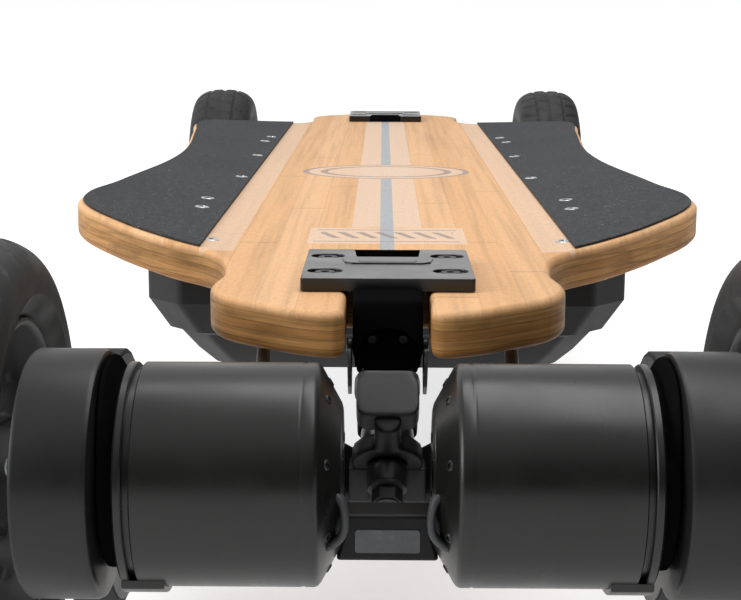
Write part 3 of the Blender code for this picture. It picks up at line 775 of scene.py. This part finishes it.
def build_screws():
    """Flush screws through the wings; the last one of each side is only a ring."""
    for side, sign in SIDES:
        heads = Shape()
        for i, (x, y) in enumerate(WING_SCREWS):
            slope = atan2(lift(x + 1) - lift(x - 1), 2)
            base = DECK_TOP + (GRIP_BASE + GRIP_THICK if x > GRIP_INNER else 0) + lift(x)
            at = move(sign * x, y, base) @ turn(-sign * slope * 180 / pi, "Y")
            if i == len(WING_SCREWS) - 1:
                heads.lathe([(2.0, -0.4), (2.0, 0.35), (3.4, 0.35), (3.6, 0.1), (3.6, -0.4)], at, 32)
            else:
                heads.lathe([(0, -0.6), (3.7, -0.6), (3.7, 0.1), (3.2, 0.42), (1.7, 0.5), (1.55, -0.3), (0, -0.35)],
                            at, 36)
        piece(f"wing_screws_{side}", heads, SILVER, "deck_body", angle=30)


# ---- enclosure ----

CONTROL_Z = 122.5
CONTROL_HOLES = ((7.3, -170), (5.4, -205))
FLANGE_Z = 121


def build_enclosure():
    """The tray under the deck: chamfered, with a thin flange and screws round its rim."""
    levels = [(131.9, 120, 285, 18), (129.9, 120, 285, 18), (129.6, 118.4, 283.4, 17.5), (113, 118.4, 283.4, 17.5),
              (97, 109, 276, 17), (95, 104, 271, 16), (84, 96, 263, 15), (75, 88, 254, 14)]
    inner = [(75 + 2.5, 86, 252, 13), (113, 116, 281, 16), (131.9, 117.5, 282.5, 17)]

    def ring(z, half_x, half_y, chamfer):
        corners = [(half_x - chamfer, -half_y), (half_x, -half_y + chamfer), (half_x, half_y - chamfer),
                   (half_x - chamfer, half_y)]
        corners += [(-x, y) for x, y in reversed(corners)]
        base = rounded(corners, 6, 4)
        flat = [i / 12 for i in range(1, 12)]
        out = []
        for a, b in zip(base, base[1:] + base[:1]):
            out.append(a)
            if abs(a[0] - b[0]) > 60:
                out += [(a[0] + (b[0] - a[0]) * t, a[1] + (b[1] - a[1]) * t) for t in flat]
        return [(x, y + CENTRE_Y, z + (lift(x) if z > FLANGE_Z else 0)) for x, y in out]

    shape = Shape().loft([ring(*level) for level in levels + inner], ring=True)
    verts = list(shape.bm.verts)
    count = len(verts) // len(levels + inner)
    outer_floor, inner_floor = (verts[k * count:(k + 1) * count] for k in (len(levels) - 1, len(levels)))
    floors = set(outer_floor + inner_floor)
    bridge = [f for f in shape.bm.faces if floors.issuperset(f.verts)]
    bmesh.ops.delete(shape.bm, geom=bridge, context="FACES")
    shape.bm.faces.new(list(reversed(outer_floor)))
    shape.bm.faces.new(inner_floor)
    tray = link("enclosure_tray", shape.mesh("enclosure_tray"))
    holes = [Shape().rod(r, 100, 130, along_x(-1, CENTRE_Y + y, CONTROL_Z), 40) for r, y in CONTROL_HOLES]
    cut(tray, *holes)
    soften(tray, 1.1, 3, 24)
    piece("enclosure_tray", tray, SHELL, "deck_body", ["enclosure"], angle=40)

    screws = Shape()
    for sx in (-1, 1):
        for i in range(5):
            at = move(sx * 66, CENTRE_Y + (i - 2) * 105, 75.2) @ FLIP
            screws.lathe([(0, -0.5), (4.2, -0.5), (4.2, 0.1), (3.4, 0.9), (1.9, 1.1), (1.7, 0.1), (0, 0.0)], at, 36)
    piece("floor_screws", screws, DARK_BOLT, "deck_body", angle=30)
    rails = Shape()
    for sx in (-1, 1):
        for x in (22, 44):
            rails.block((sx * x - 4, CENTRE_Y - 205, 74.2), (sx * x + 4, CENTRE_Y + 205, 75.5), corner=3.5)
    piece("floor_ribs", rails, SHELL, "deck_body", bevel=0.4)


# ---- trucks ----

def stadium(half, length, steps=10):
    """An oblong outline, long in X."""
    return (arc((half, 0), length, -pi / 2, pi / 2, steps) + arc((-half, 0), length, pi / 2, 3 * pi / 2, steps))


def socket_bolt(shape, at, radius, height, key):
    """A cap screw head with a hex socket, its base at local z 0."""
    shape.lathe([(0, 0), (radius, 0), (radius, height - 0.4), (radius - 0.4, height), (key, height),
                 (key, height * 0.35), (0, height * 0.35)], at, 32)


def hex_nut(shape, at, across, height, bore=0.0):
    """A nut with its chamfered corners, its base at local z 0."""
    shape.prism(rounded(hexagon(across), 0.5, 2), 0, height * 0.9, at)
    shape.lathe([(0, height * 0.88), (across * 0.47, height * 0.88), (across * 0.42, height),
                 (bore or across * 0.2, height), (bore or across * 0.2, height * 0.7), (0, height * 0.7)], at, 36)


def build_truck(end):
    at = truck(end)
    upper, lower = stage(end, UPPER_PIVOT), stage(end, LOWER_PIVOT)
    base_z = PLATE_TOP - PLATE_THICK
    back, notch = -PLATE_LENGTH, 13.5

    # The plate, with the notch in its inner edge, bolt recesses and a shallow raised outline
    corners = [(-PLATE_HALF, back), (-notch, back), (-notch + 1.2, back + 19), (notch - 1.2, back + 19),
               (notch, back), (PLATE_HALF, back), (PLATE_HALF, 0), (-PLATE_HALF, 0)]
    plate = link(f"{end}_plate", Shape().prism(rounded(corners, 1.6, 4), base_z, PLATE_TOP, at).mesh("plate"))
    tools = []
    spots = [(sx * 24, o) for sx in (-1, 1) for o in (-16.8, -52)]
    for x, o in spots:
        tools.append(Shape().prism(stadium(1.9, 4.9), PLATE_TOP - 1.5, PLATE_TOP + 5, at @ move(x, o, 0)))
    cut(plate, *tools)
    soften(plate, 0.7, 3)
    piece(f"{end}_plate", plate, PLATE, "deck_body", [f"{end}_truck_plate"])

    pocket = Shape().block((-notch - 1, back + 0.6, base_z), (notch + 1, back + 20, base_z + 1.4), at)
    pocket.block((-notch - 0.5, back, base_z), (notch + 0.5, back + 1.1, PLATE_TOP - 0.2), at)
    # The pocket takes the shine-less copy of the truck metal, as painted shade.
    piece(f"{end}_plate_pocket", pocket, SHADED_METAL, "deck_body", bevel=0.3)
    trim = Shape()
    ridge = [(-17.5, -43.5), (-16.2, -35.2), (-13.5, -33.2), (13.5, -33.2), (16.2, -35.2), (17.5, -43.5)]
    for a, b in zip(ridge, ridge[1:]):
        heading = Vector((b[0] - a[0], b[1] - a[1])).normalized() * 0.6
        side = Vector((-heading.y, heading.x))
        a, b = Vector(a) - heading * 0.9, Vector(b) + heading * 0.9
        trim.prism([tuple(a - side), tuple(b - side), tuple(b + side), tuple(a + side)], PLATE_TOP - 0.5,
                   PLATE_TOP + 0.45, at)
    trim.prism(rounded([(-12, -41), (12, -41), (10.5, -36.6), (-10.5, -36.6)], 0.8, 3), PLATE_TOP - 0.5,
               PLATE_TOP + 0.2, at)
    piece(f"{end}_plate_trim", trim, PLATE, "deck_body", bevel=0.15)
    heads = Shape()
    for x, o in spots:
        socket_bolt(heads, at @ move(x, o, PLATE_TOP - 1.6), 4.1, 1.3, 1.7)
    piece(f"{end}_plate_bolts", heads, DARK_BOLT, "deck_body", angle=30)

    # The neck and the upper seat, one casting
    neck = Shape()
    neck.block((-NECK_HALF, -11, 132), (NECK_HALF, 21.5, base_z + 1), at, corner=3)
    neck.block((-12, -10, 11.8), (12, 35, 19), upper, corner=3)
    neck.block((-12, 24, -7), (12, 30, 17.5), upper, corner=2)
    casting = melt(link(f"{end}_neck", neck.mesh("neck")), 0.9, 5)
    arch = Shape().rod(11.6, 17.6, 40, at @ move(0, 0, 131.2) @ turn(-90, "X"), 48)
    cut(casting, arch)
    # The neck takes the shine-less copy of the truck metal, as painted shade.
    piece(f"{end}_neck", casting, SHADED_METAL, "deck_body", angle=50)
    bolts = Shape()
    for sx in (-1, 1):
        socket_bolt(bolts, at @ move(sx * 5.7, 17.4, 137.8) @ turn(-90, "X"), 1.7, 1.6, 0.8)
    piece(f"{end}_neck_bolts", bolts, DARK_BOLT, "deck_body", angle=30)

    # The link between the two kingpins, and the hanger with its ring, web and nose
    link_shape = Shape()
    link_shape.ring(6.3, 12.5, -3.5, 3.5, upper)
    link_shape.rod(4.7, 9.6, 25, upper @ turn(-90, "X"), 24)
    link_shape.block((-9, 11, -27), (9, 21.5, 3.4), upper, corner=2.5)
    link_shape.block((-10.8, -9.5, 11.8), (10.8, 28, 19), lower, corner=4)
    link_shape.prism(rounded([(-10.8, 1.0), (10.8, 1.0), (10.8, 17.5), (-10.8, 17.5)], 5.0, 6), -28, -17,
                     lower @ turn(90, "X"))
    casting = melt(link(f"{end}_link", link_shape.mesh("link")), 0.75, 6)
    piece(f"{end}_link", casting, LINK, f"{end}_link_body", [f"{end}_truck_link"], angle=60)

    hanger = Shape()
    tube = [(10.3, 0), (10.3, 12), (13, 17), (13, 30), (10.3, 58), (10.3, 89.9), (9.7, 90.5)]
    profile = [(r, -h) for r, h in reversed(tube[1:])] + tube
    hanger.lathe(profile + [(5.3, 90.5), (5.3, -90.5)], along_x(1, at.translation.y + at.col[1].y * AXLE_OUT, AXLE_Z),
                 64)
    hanger.ring(6.3, 12.5, -3.5, 3.5, lower)
    hanger.rod(4.7, 9.6, 26, lower @ turn(-90, "X"), 24)
    hanger.block((-10, -14, -3.4), (10, -7, 3.4), lower, corner=1)
    casting = melt(link(f"{end}_hanger_casting", hanger.mesh("hanger")), 0.9, 5)
    piece(f"{end}_hanger_casting", casting, TRUCK, f"{end}_hanger_body", [f"{end}_hanger"], angle=60)

    lugs = Shape()
    for sx in (-1, 1):
        lugs.block((min(sx * 6.0, sx * 13.6), 24, 83.5), (max(sx * 6.0, sx * 13.6), 41, 96.5), at, corner=1.5)
    piece(f"{end}_hanger_lugs", lugs, LINK, f"{end}_hanger_body", bevel=1.2)

    # Light ears on the neck's sides
    ears = Shape()
    for sx in (-1, 1):
        ears.prism(rounded([(-6, -4), (7, -4), (9, 6), (7, 18), (1, 20), (-6, 8)], 3, 4), -0.7, 0.7,
                   upper @ move(sx * 13.9, 10, 0) @ turn(90, "Y"))
        ears.rod(2.6, -1.2, 1.2, upper @ move(sx * 14.0, 21, 6) @ turn(90, "Y"), 24, 0.4)
    piece(f"{end}_ears", ears, EAR, "deck_body", bevel=0.4)

    build_pins(end, "upper", upper, "deck_body")
    build_pins(end, "lower", lower, f"{end}_link_body")
    axle = Shape().rod(5.0, -178, 178, along_x(1, middle(f"{end}_axle").y, AXLE_Z), 40, 0.8)
    piece(f"{end}_axle_rod", axle, AXLE, f"{end}_hanger_body", [f"{end}_axle"])


def build_pins(end, label, at, parent):
    """A kingpin with its washers and nut, and the two bushings."""
    pin = Shape()
    pin.rod(4.7, -16, 19.6, at, 32, 0.5)
    pin.lathe([(4.7, -13.3), (6.4, -13.3), (6.9, -12.8), (6.9, -11.8), (4.7, -11.8)], at, 48)
    hex_nut(pin, at @ move(0, 0, -12.8) @ FLIP, 9.4, 5.7, 2.6)
    hex_nut(pin, at @ move(0, 0, 18.7), 11.0, 3.6, 4.0)
    piece(f"{end}_{label}_pin", pin, BLACK_BOLT, parent, [f"{end}_{label}_kingpin"], angle=30)
    washers = Shape()
    for low in (11.45, 3.5):
        washers.ring(4.9, 9.2, low, low + 0.35, at)
    piece(f"{end}_{label}_washers", washers, BLACK_BOLT, parent, angle=30)
    barrel = [(5, 3.8), (8.3, 3.8), (9.2, 4.6), (9.5, 7.6), (9.2, 10.7), (8.3, 11.5), (5, 11.5)]
    cone = [(5, -3.8), (6.6, -3.8), (7.0, -4.4), (6.6, -7.0), (6.2, -11.0), (5.9, -11.5), (5, -11.5)]
    for which, profile, start in (("inner", barrel, 11.5), ("outer", cone, -11.5)):
        made = piece(f"{end}_{label}_{which}_bush", Shape().lathe(profile, at, 48), URETHANE, None,
                     [f"{end}_{label}_bushing_{which}"], bevel=0.0, angle=50)
        middle_of = at @ Vector((0, 0, start))
        ring_face = at @ Vector((0, 0, start / abs(start) * 3.8))
        middle_of * MM
        ring_face * MM
        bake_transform(made)


# ---- wheels ----

WIDEST_R = 70.0
SECTION_STEPS = 44
GROOVE, SHALLOW, SIPE = 1.3, 0.8, 1.0


def tyre_section():
    """(radius, offset from the tyre's middle, angle) from one sidewall over the crown to the other."""
    half = (TYRE_OUT - TYRE_IN) / 2
    out = []
    for i in range(SECTION_STEPS + 1):
        t = pi * i / SECTION_STEPS
        side = cos(t)
        bulge = abs(side) ** 0.8 * (1 if side >= 0 else -1)
        out.append((WIDEST_R + (TYRE_R - WIDEST_R) * sin(t) ** 0.85, half * bulge, t))
    return out


def build_tyre(end, side, sign):
    """Balloon tyre with a moulded tread: two grooves round it, slanted blocks between them and the shoulders."""
    blocks, per_block = 36, 10
    steps = blocks * per_block
    at = wheel(end, sign)
    centre = (TYRE_IN + TYRE_OUT) / 2
    section = tyre_section()
    rows = []
    for radius, offset, t in section:
        s = (t - pi / 2) / (pi / 2)
        row = []
        for i in range(steps):
            slant = round(abs(s) * 9)
            phase = (i + slant) % per_block
            depth = 0.0
            if 0.19 < abs(s) < 0.25 or abs(s) < 0.025:
                depth = GROOVE
            elif 0.25 <= abs(s) < 0.66 and phase < 2:
                depth = GROOVE if abs(s) < 0.58 else SHALLOW
            elif abs(s) <= 0.19 and (i + per_block // 2 + round(s * 14)) % per_block < 1:
                depth = SIPE
            r = radius - depth
            a = 2 * pi * i / steps
            row.append((r * cos(a), r * sin(a), centre + offset * (1 - depth * 0.004)))
        rows.append(row)
    # Sidewall details: a raised rib and the bead that sits on the rim
    widest = section[-1][0]
    inner_side = [(widest - 2.5, 27.6), (widest - 4, 27.9), (widest - 5.5, 27.0), (61.5, 24.6), (60.4, 24.0),
                  (59.2, 23.0), (58, 21.5)]
    rows += [circle(radius, centre - offset, steps) for radius, offset in inner_side]
    rows += [circle(radius, centre + offset, steps) for radius, offset in reversed(inner_side)]
    shape = Shape().loft([[at @ Vector(p) for p in row] for row in rows], ring=True)
    piece(f"{end}_{side}_tyre_tread", shape, TYRE, f"{end}_{side}_wheel_body", [f"{end}_{side}_tyre"], angle=34)


def build_hub(end, side, sign):
    at = wheel(end, sign)
    body = f"{end}_{side}_wheel_body"
    hub = Shape()
    hub.lathe([(57.7, 178), (57.7, 132), (55.4, 132), (54.6, 133), (53.8, 136), (51.4, 143), (51.0, 150), (51.4, 160),
               (52.8, 170), (54.2, 175.5), (55.0, 178)], at, 96)
    hub.lathe([(17, 111.5), (17, 146), (19, 150), (19, 160), (17, 164), (17, 168.6), (16.2, 169), (11.3, 169),
               (11.3, 159.7), (5.8, 159.7), (5.8, 111.5)], at, 64)
    for i in range(5):
        spin = at @ turn(72 * i, "Z")
        for lean in (-1, 1):
            spoke = [(14, -4.8), (32, -4.0 + lean * 4), (53.0, -3.8 + lean * 13), (53.0, 3.8 + lean * 13),
                     (32, 4.0 + lean * 4), (14, 4.8)]
            hub.prism(spoke, 148.5, 158.5, spin)
    casting = melt(link(f"{end}_{side}_hub_casting", hub.mesh("hub")), 1.0, 4)
    piece(f"{end}_{side}_hub_casting", casting, HUB, body, [f"{end}_{side}_hub"], angle=60)

    steel = Shape()
    steel.ring(8.9, 11, 166.8, 160, at)
    steel.ring(5.2, 7.2, 160, 167, at)
    piece(f"{end}_{side}_races", steel, BOLT, body, [f"{end}_{side}_bearing"], angle=30)
    shield = Shape().ring(7.2, 8.9, 160.6, 166.2, at)
    piece(f"{end}_{side}_bearing_shield", shield, PLASTIC, body, angle=30)
    valve = Shape()
    lie = at @ turn(36, "Z") @ move(48.5, 0, 168) @ turn(-8, "Y")
    valve.lathe([(0, -6), (2.6, -6), (2.6, 2), (3.0, 2.6), (3.0, 8), (2.4, 9), (0, 9)], lie, 24)
    piece(f"{end}_{side}_valve", valve, PLASTIC, body, angle=30)

    nut = Shape()
    nut.ring(5, 8.4, 167.4, 168.4, at, 40)
    hex_nut(nut, at @ move(0, 0, 168.4), 12.6, 7.2, 5.0)
    piece(f"{end}_{side}_axle_nut", nut, BOLT, f"{end}_hanger_body", angle=30)


def toothed(radius, teeth, depth):
    """A toothed outline whose tips stand at radius."""
    out = []
    for i in range(teeth):
        for part, r in ((0.0, radius - depth), (0.22, radius - depth), (0.34, radius), (0.66, radius),
                        (0.78, radius - depth)):
            a = 2 * pi * (i + part) / teeth
            out.append((r * cos(a), r * sin(a)))
    return out


def build_gear(side, sign):
    """The drive gear on the wheel: toothed ring with flanges, and a web with lightening holes."""
    at = wheel("rear", sign)
    low, high = 94.8, 111.1
    ring = link(f"rear_{side}_gear", Shape().prism(toothed(42.9, 54, 1.9), low + 1.2, high - 0.4, at).mesh("gear"))
    holes = [Shape().rod(5.5, 80, 130, at @ turn(60 * i, "Z") @ move(28, 0, 0), 28) for i in range(6)]
    holes.append(Shape().rod(12.0, 80, 130, at, 48))
    cut(ring, *holes)
    soften(ring, 0.25, 1, 40)
    piece(f"rear_{side}_gear", ring, GEAR, f"rear_{side}_wheel_body", [f"rear_{side}_drive_gear"], angle=30)
    flange = Shape().lathe([(36, low), (44.4, low), (44.4, 95.4), (36, 96.2)], at)
    bolts = Shape()
    for i in range(6):
        socket_bolt(bolts, at @ turn(60 * i + 30, "Z") @ move(27, 0, low + 1.4) @ FLIP, 3.2, 2.6, 1.5)
    piece(f"rear_{side}_gear_flange", flange, GEAR, f"rear_{side}_wheel_body", angle=30)
    piece(f"rear_{side}_gear_bolts", bolts, BOLT, f"rear_{side}_wheel_body", angle=30)


# ---- motors ----

def build_motor(side, sign):
    at = along_x(sign, MOTOR.y, MOTOR.z)
    body = "rear_hanger_body"
    end = MOTOR_OUT
    can = [(35.8, end - 0.6), (35.8, end - 2.4), (35.4, end - 2.8), (33.4, end - 2.9), (33.4, end - 5.0),
           (35.4, end - 5.1), (35.8, end - 5.5), (35.8, 27.4), (35.6, 27.0), (35.6, 26.2), (35.8, 25.8),
           (35.8, 23.0), (35.3, 21.9), (34.2, 21.0), (23.0, 14.8), (21.5, 14.4), (9.5, 14.4), (9.0, 15.2), (5, 15.2),
           (5, 18), (20, 18), (32.6, 24), (32.6, end - 7), (5, end - 7), (5, end), (35.2, end)]
    piece(f"{side}_motor_shell", Shape().lathe(can, at, 128), MOTOR_PAINT, body, [f"{side}_motor_can"], angle=28)
    foot = arc((0, 0), 35.5, radians(232), radians(308), 24)
    foot += reversed(arc((0, 0), 37.7, radians(235), radians(305), 24))
    shoe = Shape().prism(foot, end - 13.5, end, move(0, MOTOR.y, MOTOR.z) @ across(sign))
    piece(f"{side}_motor_foot", shoe, MOTOR_PAINT, body, bevel=0.5)
    screws = Shape()
    for i in range(8):
        spot = at @ turn(45 * i + 22.5, "Z") @ move(29.6, 0, 19.0) @ turn(-31, "Y") @ FLIP
        socket_bolt(screws, spot, 1.7, 0.9, 0.8)
    for i in range(4):
        spot = at @ turn(90 * i + 45, "Z") @ move(13.5, 0, 15.2) @ FLIP
        socket_bolt(screws, spot, 2.0, 1.2, 1.0)
    piece(f"{side}_motor_screws", screws, DARK_BOLT, body, angle=30)

    leads = Shape()
    for shift in (0.0, 2.4):
        route = [(sign * 19, -22 - shift, 2), (sign * 14.5, -24.5 - shift, -1), (sign * 13.2, -25 - shift, -7),
                 (sign * 14.0, -25 - shift, -12), (sign * 17.5, -24.4 - shift, -15.5), (sign * 23, -23 - shift, -18)]
        curve = smooth_route(route, 1.5)
        leads.tube([Vector(p) + Vector((0, MOTOR.y + 2.5, MOTOR.z)) for p in curve], 1.25, 14)
    piece(f"{side}_motor_leads", leads, SLEEVE, body, angle=60)

    # The mount: plate round motor and axle, with a shoulder that rises behind the can's top
    axle = (middle("rear_axle").y, AXLE_Z)
    motor = (MOTOR.y, MOTOR.z)
    # The mount and its shoulder take the shine-less copy of the truck metal, as painted shade for the dark gap behind
    # the can.
    plate = Shape().prism(wrapped(axle, 17, motor, 30, 40), MOTOR_OUT + 0.3, MOUNT_OUT, across(sign))
    mount = soften(link(f"{side}_mount", plate.mesh("mount")), 1.0, 3)
    piece(f"{side}_mount", mount, SHADED_METAL, body, [f"{side}_motor_mount"])
    rows = []
    for x, rise in ((MOTOR_OUT + 0.3, 3.0), (MOTOR_OUT + 1.5, 3.4), (MOUNT_OUT - 1.4, 8.0), (MOUNT_OUT, 8.4)):
        cam = []
        for i in range(73):
            angle = 10 + 180 * i / 72
            reach = min(1, max(0, (angle - 10) / 60)) * min(1, max(0, (190 - angle) / 60))
            a = radians(180 - angle)
            cam.append((28.5 + (rise + 1.5) * reach * reach * (3 - 2 * reach), a))
        cam += [(26, radians(180 - (190 - 180 * i / 24))) for i in range(25)]
        rows.append([(sign * x, motor[0] + r * cos(a), motor[1] + r * sin(a)) for r, a in cam])
    piece(f"{side}_mount_shoulder", Shape().loft(rows), SHADED_METAL, body, bevel=0.5)

    # The belt cover, cut away round the gear
    cup = [(40, 111.5), (40, 91.6), (39.3, 90.0), (37.6, 89.2), (9, 89.2), (9, 91), (37, 91), (38.2, 92.2),
           (38.2, 110.7), (37.2, 111.7), (24, 111.7), (24, 113.5), (37.6, 113.5), (39.3, 112.9)]
    cover = link(f"{side}_cover", Shape().lathe(cup, at, 128).mesh("cover"))
    cut(cover, Shape().rod(54.5, 80, 125, along_x(sign, *axle), 96))
    piece(f"{side}_cover", cover, COVER, body, [f"{side}_belt_cover"], angle=30)
    caps = Shape()
    for degrees in (110, 180, 250):
        spot = at @ turn(degrees + (90 if sign > 0 else -90) - 90, "Z")
        socket_bolt(caps, spot @ move(30.5, 0, 113.3), 2.9, 2.0, 1.4)
    piece(f"{side}_cover_screws", caps, BOLT, body, angle=30)

    # Pulley with its teeth and flanges
    pulley = Shape().prism(toothed(11.8, 15, 1.5), 95.0, 110.0, at)
    for z in (94.4, 109.6):
        pulley.ring(4.3, 13.2, z, z + 0.7, at, 40)
    piece(f"{side}_pulley", pulley, PULLEY, f"{side}_rotor_body", [f"{side}_motor_pulley"], angle=30)


def build_brace():
    """The bar between the motors, with a bevelled top and plain raised panel."""
    ends = [(-14.2, 97), (14.2, 97), (14.2, 90), (16.6, 81.5), (-16.6, 81.5), (-14.2, 90)]
    shape = Shape().prism(ends, -7, 7, facing_back(MOTOR.y))
    piece("brace_bar", shape, TRUCK, "rear_hanger_body", ["motor_brace"], bevel=1.4, segments=4)
    panel = Shape()
    panel.prism(rounded([(-10.5, 84.4), (10.5, 84.4), (10.5, 92.2), (-10.5, 92.2)], 1.2, 4), -0.3, 0.35,
                facing_back(MOTOR.y - 7))
    piece("brace_panel", panel, EAR, "rear_hanger_body", bevel=0.2)


def smooth_route(points, spacing):
    """Points along a Catmull-Rom curve through the route."""
    route = [Vector(p) for p in points]
    ends = [2 * route[0] - route[1]] + route + [2 * route[-1] - route[-2]]
    out = []
    for a, b, c, d in zip(ends, ends[1:], ends[2:], ends[3:]):
        count = max(1, round((c - b).length / spacing))
        for i in range(count):
            t = i / count
            out.append(0.5 * (2 * b + (c - a) * t + (2 * a - 5 * b + 4 * c - d) * t ** 2
                              + (3 * b - a - 3 * c + d) * t ** 3))
    return out + [route[-1]]


CABLE_EXIT = (46, -285.4, 124)
CABLE_ROUTE = (CABLE_EXIT, (46, -295, 124.2), (46, -320, 126.5), (46.5, -360, 128.5), (47, -400, 128.5),
               (47, -440, 128), (46, -462, 125.5), (44, -482, 121), (41, -494, 117), (39, -502, 114.5))
CABLE_R = 2.6
CABLE_SPLIT_Y = -446.0


def build_cables():
    """Motor leads in braided sleeve, split in two at the link."""
    for side, sign in SIDES:
        route = smooth_route([(sign * x, y + CENTRE_Y, z) for x, y, z in CABLE_ROUTE], 3.0)
        split = min(range(len(route)), key=lambda i: abs(route[i].y - CENTRE_Y - CABLE_SPLIT_Y))
        parts = (("front", route[:split + 1], "deck_body", "rear_link_body", -300, -436),
                 ("rear", route[split:], "rear_link_body", "rear_hanger_body", -450, -496))
        for label, points, a, b, start, end in parts:
            made = piece(f"{side}_lead_{label}", Shape().tube(points, CABLE_R, 24), SLEEVE, None,
                         [f"{side}_motor_cable"], angle=60)
            Vector((0, CENTRE_Y + start, 0)) * MM
            Vector((0, CENTRE_Y + end, 0)) * MM
            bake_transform(made)
        collar = Shape()
        at = move(sign * CABLE_EXIT[0], CENTRE_Y + CABLE_EXIT[1], CABLE_EXIT[2]) @ turn(90, "X")
        collar.lathe([(2.7, -1), (6.6, -1), (6.6, 1.5), (5.0, 4), (3.4, 9), (2.7, 9.6)], at, 36)
        piece(f"{side}_cable_gland", collar, PLASTIC, "deck_body", angle=40)


# ---- CAD nodes that stay ----

KEPT = {"enclosure_gasket": SEAL, "battery_pack": BATTERY, "motor_controller": CONTROLLER, "charge_port": PLASTIC,
    "power_button": BUTTON, "left_stator": COPPER, "right_stator": COPPER, "left_rotor": ROTOR, "right_rotor": ROTOR,
    "left_belt": BELT, "right_belt": BELT, }


def paint_kept():
    for name, paint in KEPT.items():
        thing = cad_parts[name]
        for slot in thing.material_slots:
            slot.material = paint
        weld = thing.modifiers.new("weld", "WELD")
        weld.merge_threshold = 0.00001
        soft = thing.modifiers.new("edges", "BEVEL")
        soft.width = 0.0004
        soft.segments = 2
        soft.limit_method = "ANGLE"
        soft.angle_limit = radians(40)
        smooth = thing.modifiers.new("normals", "WEIGHTED_NORMAL")
        smooth.keep_sharp = True
        smooth.weight = 50


# ---- floor and light ----

SKY_LOW, SKY_HIGH = 0.05, 0.85
FLOOR_GLOW = (0.65, 0.40)
FLOOR_GLOW_FADE = 0.6
FLOOR_GREY = (0.6, 0.6, 0.6)
FRONT_RANGE = (0.25, -0.5)
ABOVE_RANGE = (0.35, 0.9)
DARK_SIDE = (0.8, -0.6)


def area_light(name, at, aim, size, power):
    lamp = bpy.data.lights.new(name, "AREA")
    lamp.shape = "RECTANGLE"
    lamp.size, lamp.size_y = size
    lamp.energy = power
    holder = link(name, lamp)
    holder.location = at
    holder.rotation_euler = (Vector(aim) - Vector(at)).to_track_quat("-Z", "Y").to_euler()


def build_world():
    """A white room that is dark low down behind the camera, and plain white behind the object."""
    world = bpy.data.worlds.new("studio")
    bpy.context.scene.world = world
    world.use_nodes = True
    g = Graph(world.node_tree)
    heading = g.node("ShaderNodeTexCoord").outputs["Generated"]
    x, y, z = g.split(heading)
    front = g.remap(x * DARK_SIDE[0] + y * DARK_SIDE[1], *FRONT_RANGE, SKY_LOW, SKY_HIGH)
    above = g.remap(z, *ABOVE_RANGE, SKY_LOW, SKY_HIGH)
    seen = g.node("ShaderNodeMix")
    g.feed(seen.inputs[0], g.node("ShaderNodeLightPath").outputs["Is Camera Ray"])
    g.feed(seen.inputs[2], front | above)
    g.feed(seen.inputs[3], 1.0)
    sky = g.tree.nodes["Background"]
    g.feed(sky.inputs["Strength"], seen.outputs[0])
    g.feed(sky.inputs["Color"], (1, 1, 1, 1))


def build_studio():
    mesh = bpy.data.meshes.new("floor")
    mesh.from_pydata([(-30, -30, 0), (30, -30, 0), (30, 60, 0), (-30, 60, 0)], [], [(0, 1, 2, 3)])
    floor = link("floor", mesh)
    p = Paint("floor", 0.9)
    p.shader.inputs["Emission Color"].default_value = (1, 1, 1, 1)
    # The floor glows: painted light that lifts the board's shadow on it and lights the board from below, dimmer
    # towards the right-rear.
    towards = p.x * DARK_SIDE[0] + p.y * DARK_SIDE[1]
    p.feed(p.shader.inputs["Emission Strength"], p.remap(towards, 0.0, FLOOR_GLOW_FADE, *FLOOR_GLOW))
    mesh.materials.append(p.done(FLOOR_GREY))
    build_world()
    area_light("overhead", (0.28, -0.32, 1.7), (0.05, -0.46, 0.1), (1.7, 0.7), 15)
    area_light("key", (-2.1, -1.3, 1.1), (0, -0.3, 0.1), (1.2, 1.2), 30)
    bpy.context.scene.view_settings.view_transform = "Standard"


place_camera()
build_deck()
build_screws()
build_enclosure()
for end in ("rear", "front"):
    build_truck(end)
    for side, sign in SIDES:
        build_tyre(end, side, sign)
        build_hub(end, side, sign)
for side, sign in SIDES:
    build_gear(side, sign)
    build_motor(side, sign)
build_brace()
build_cables()
paint_kept()
build_studio()
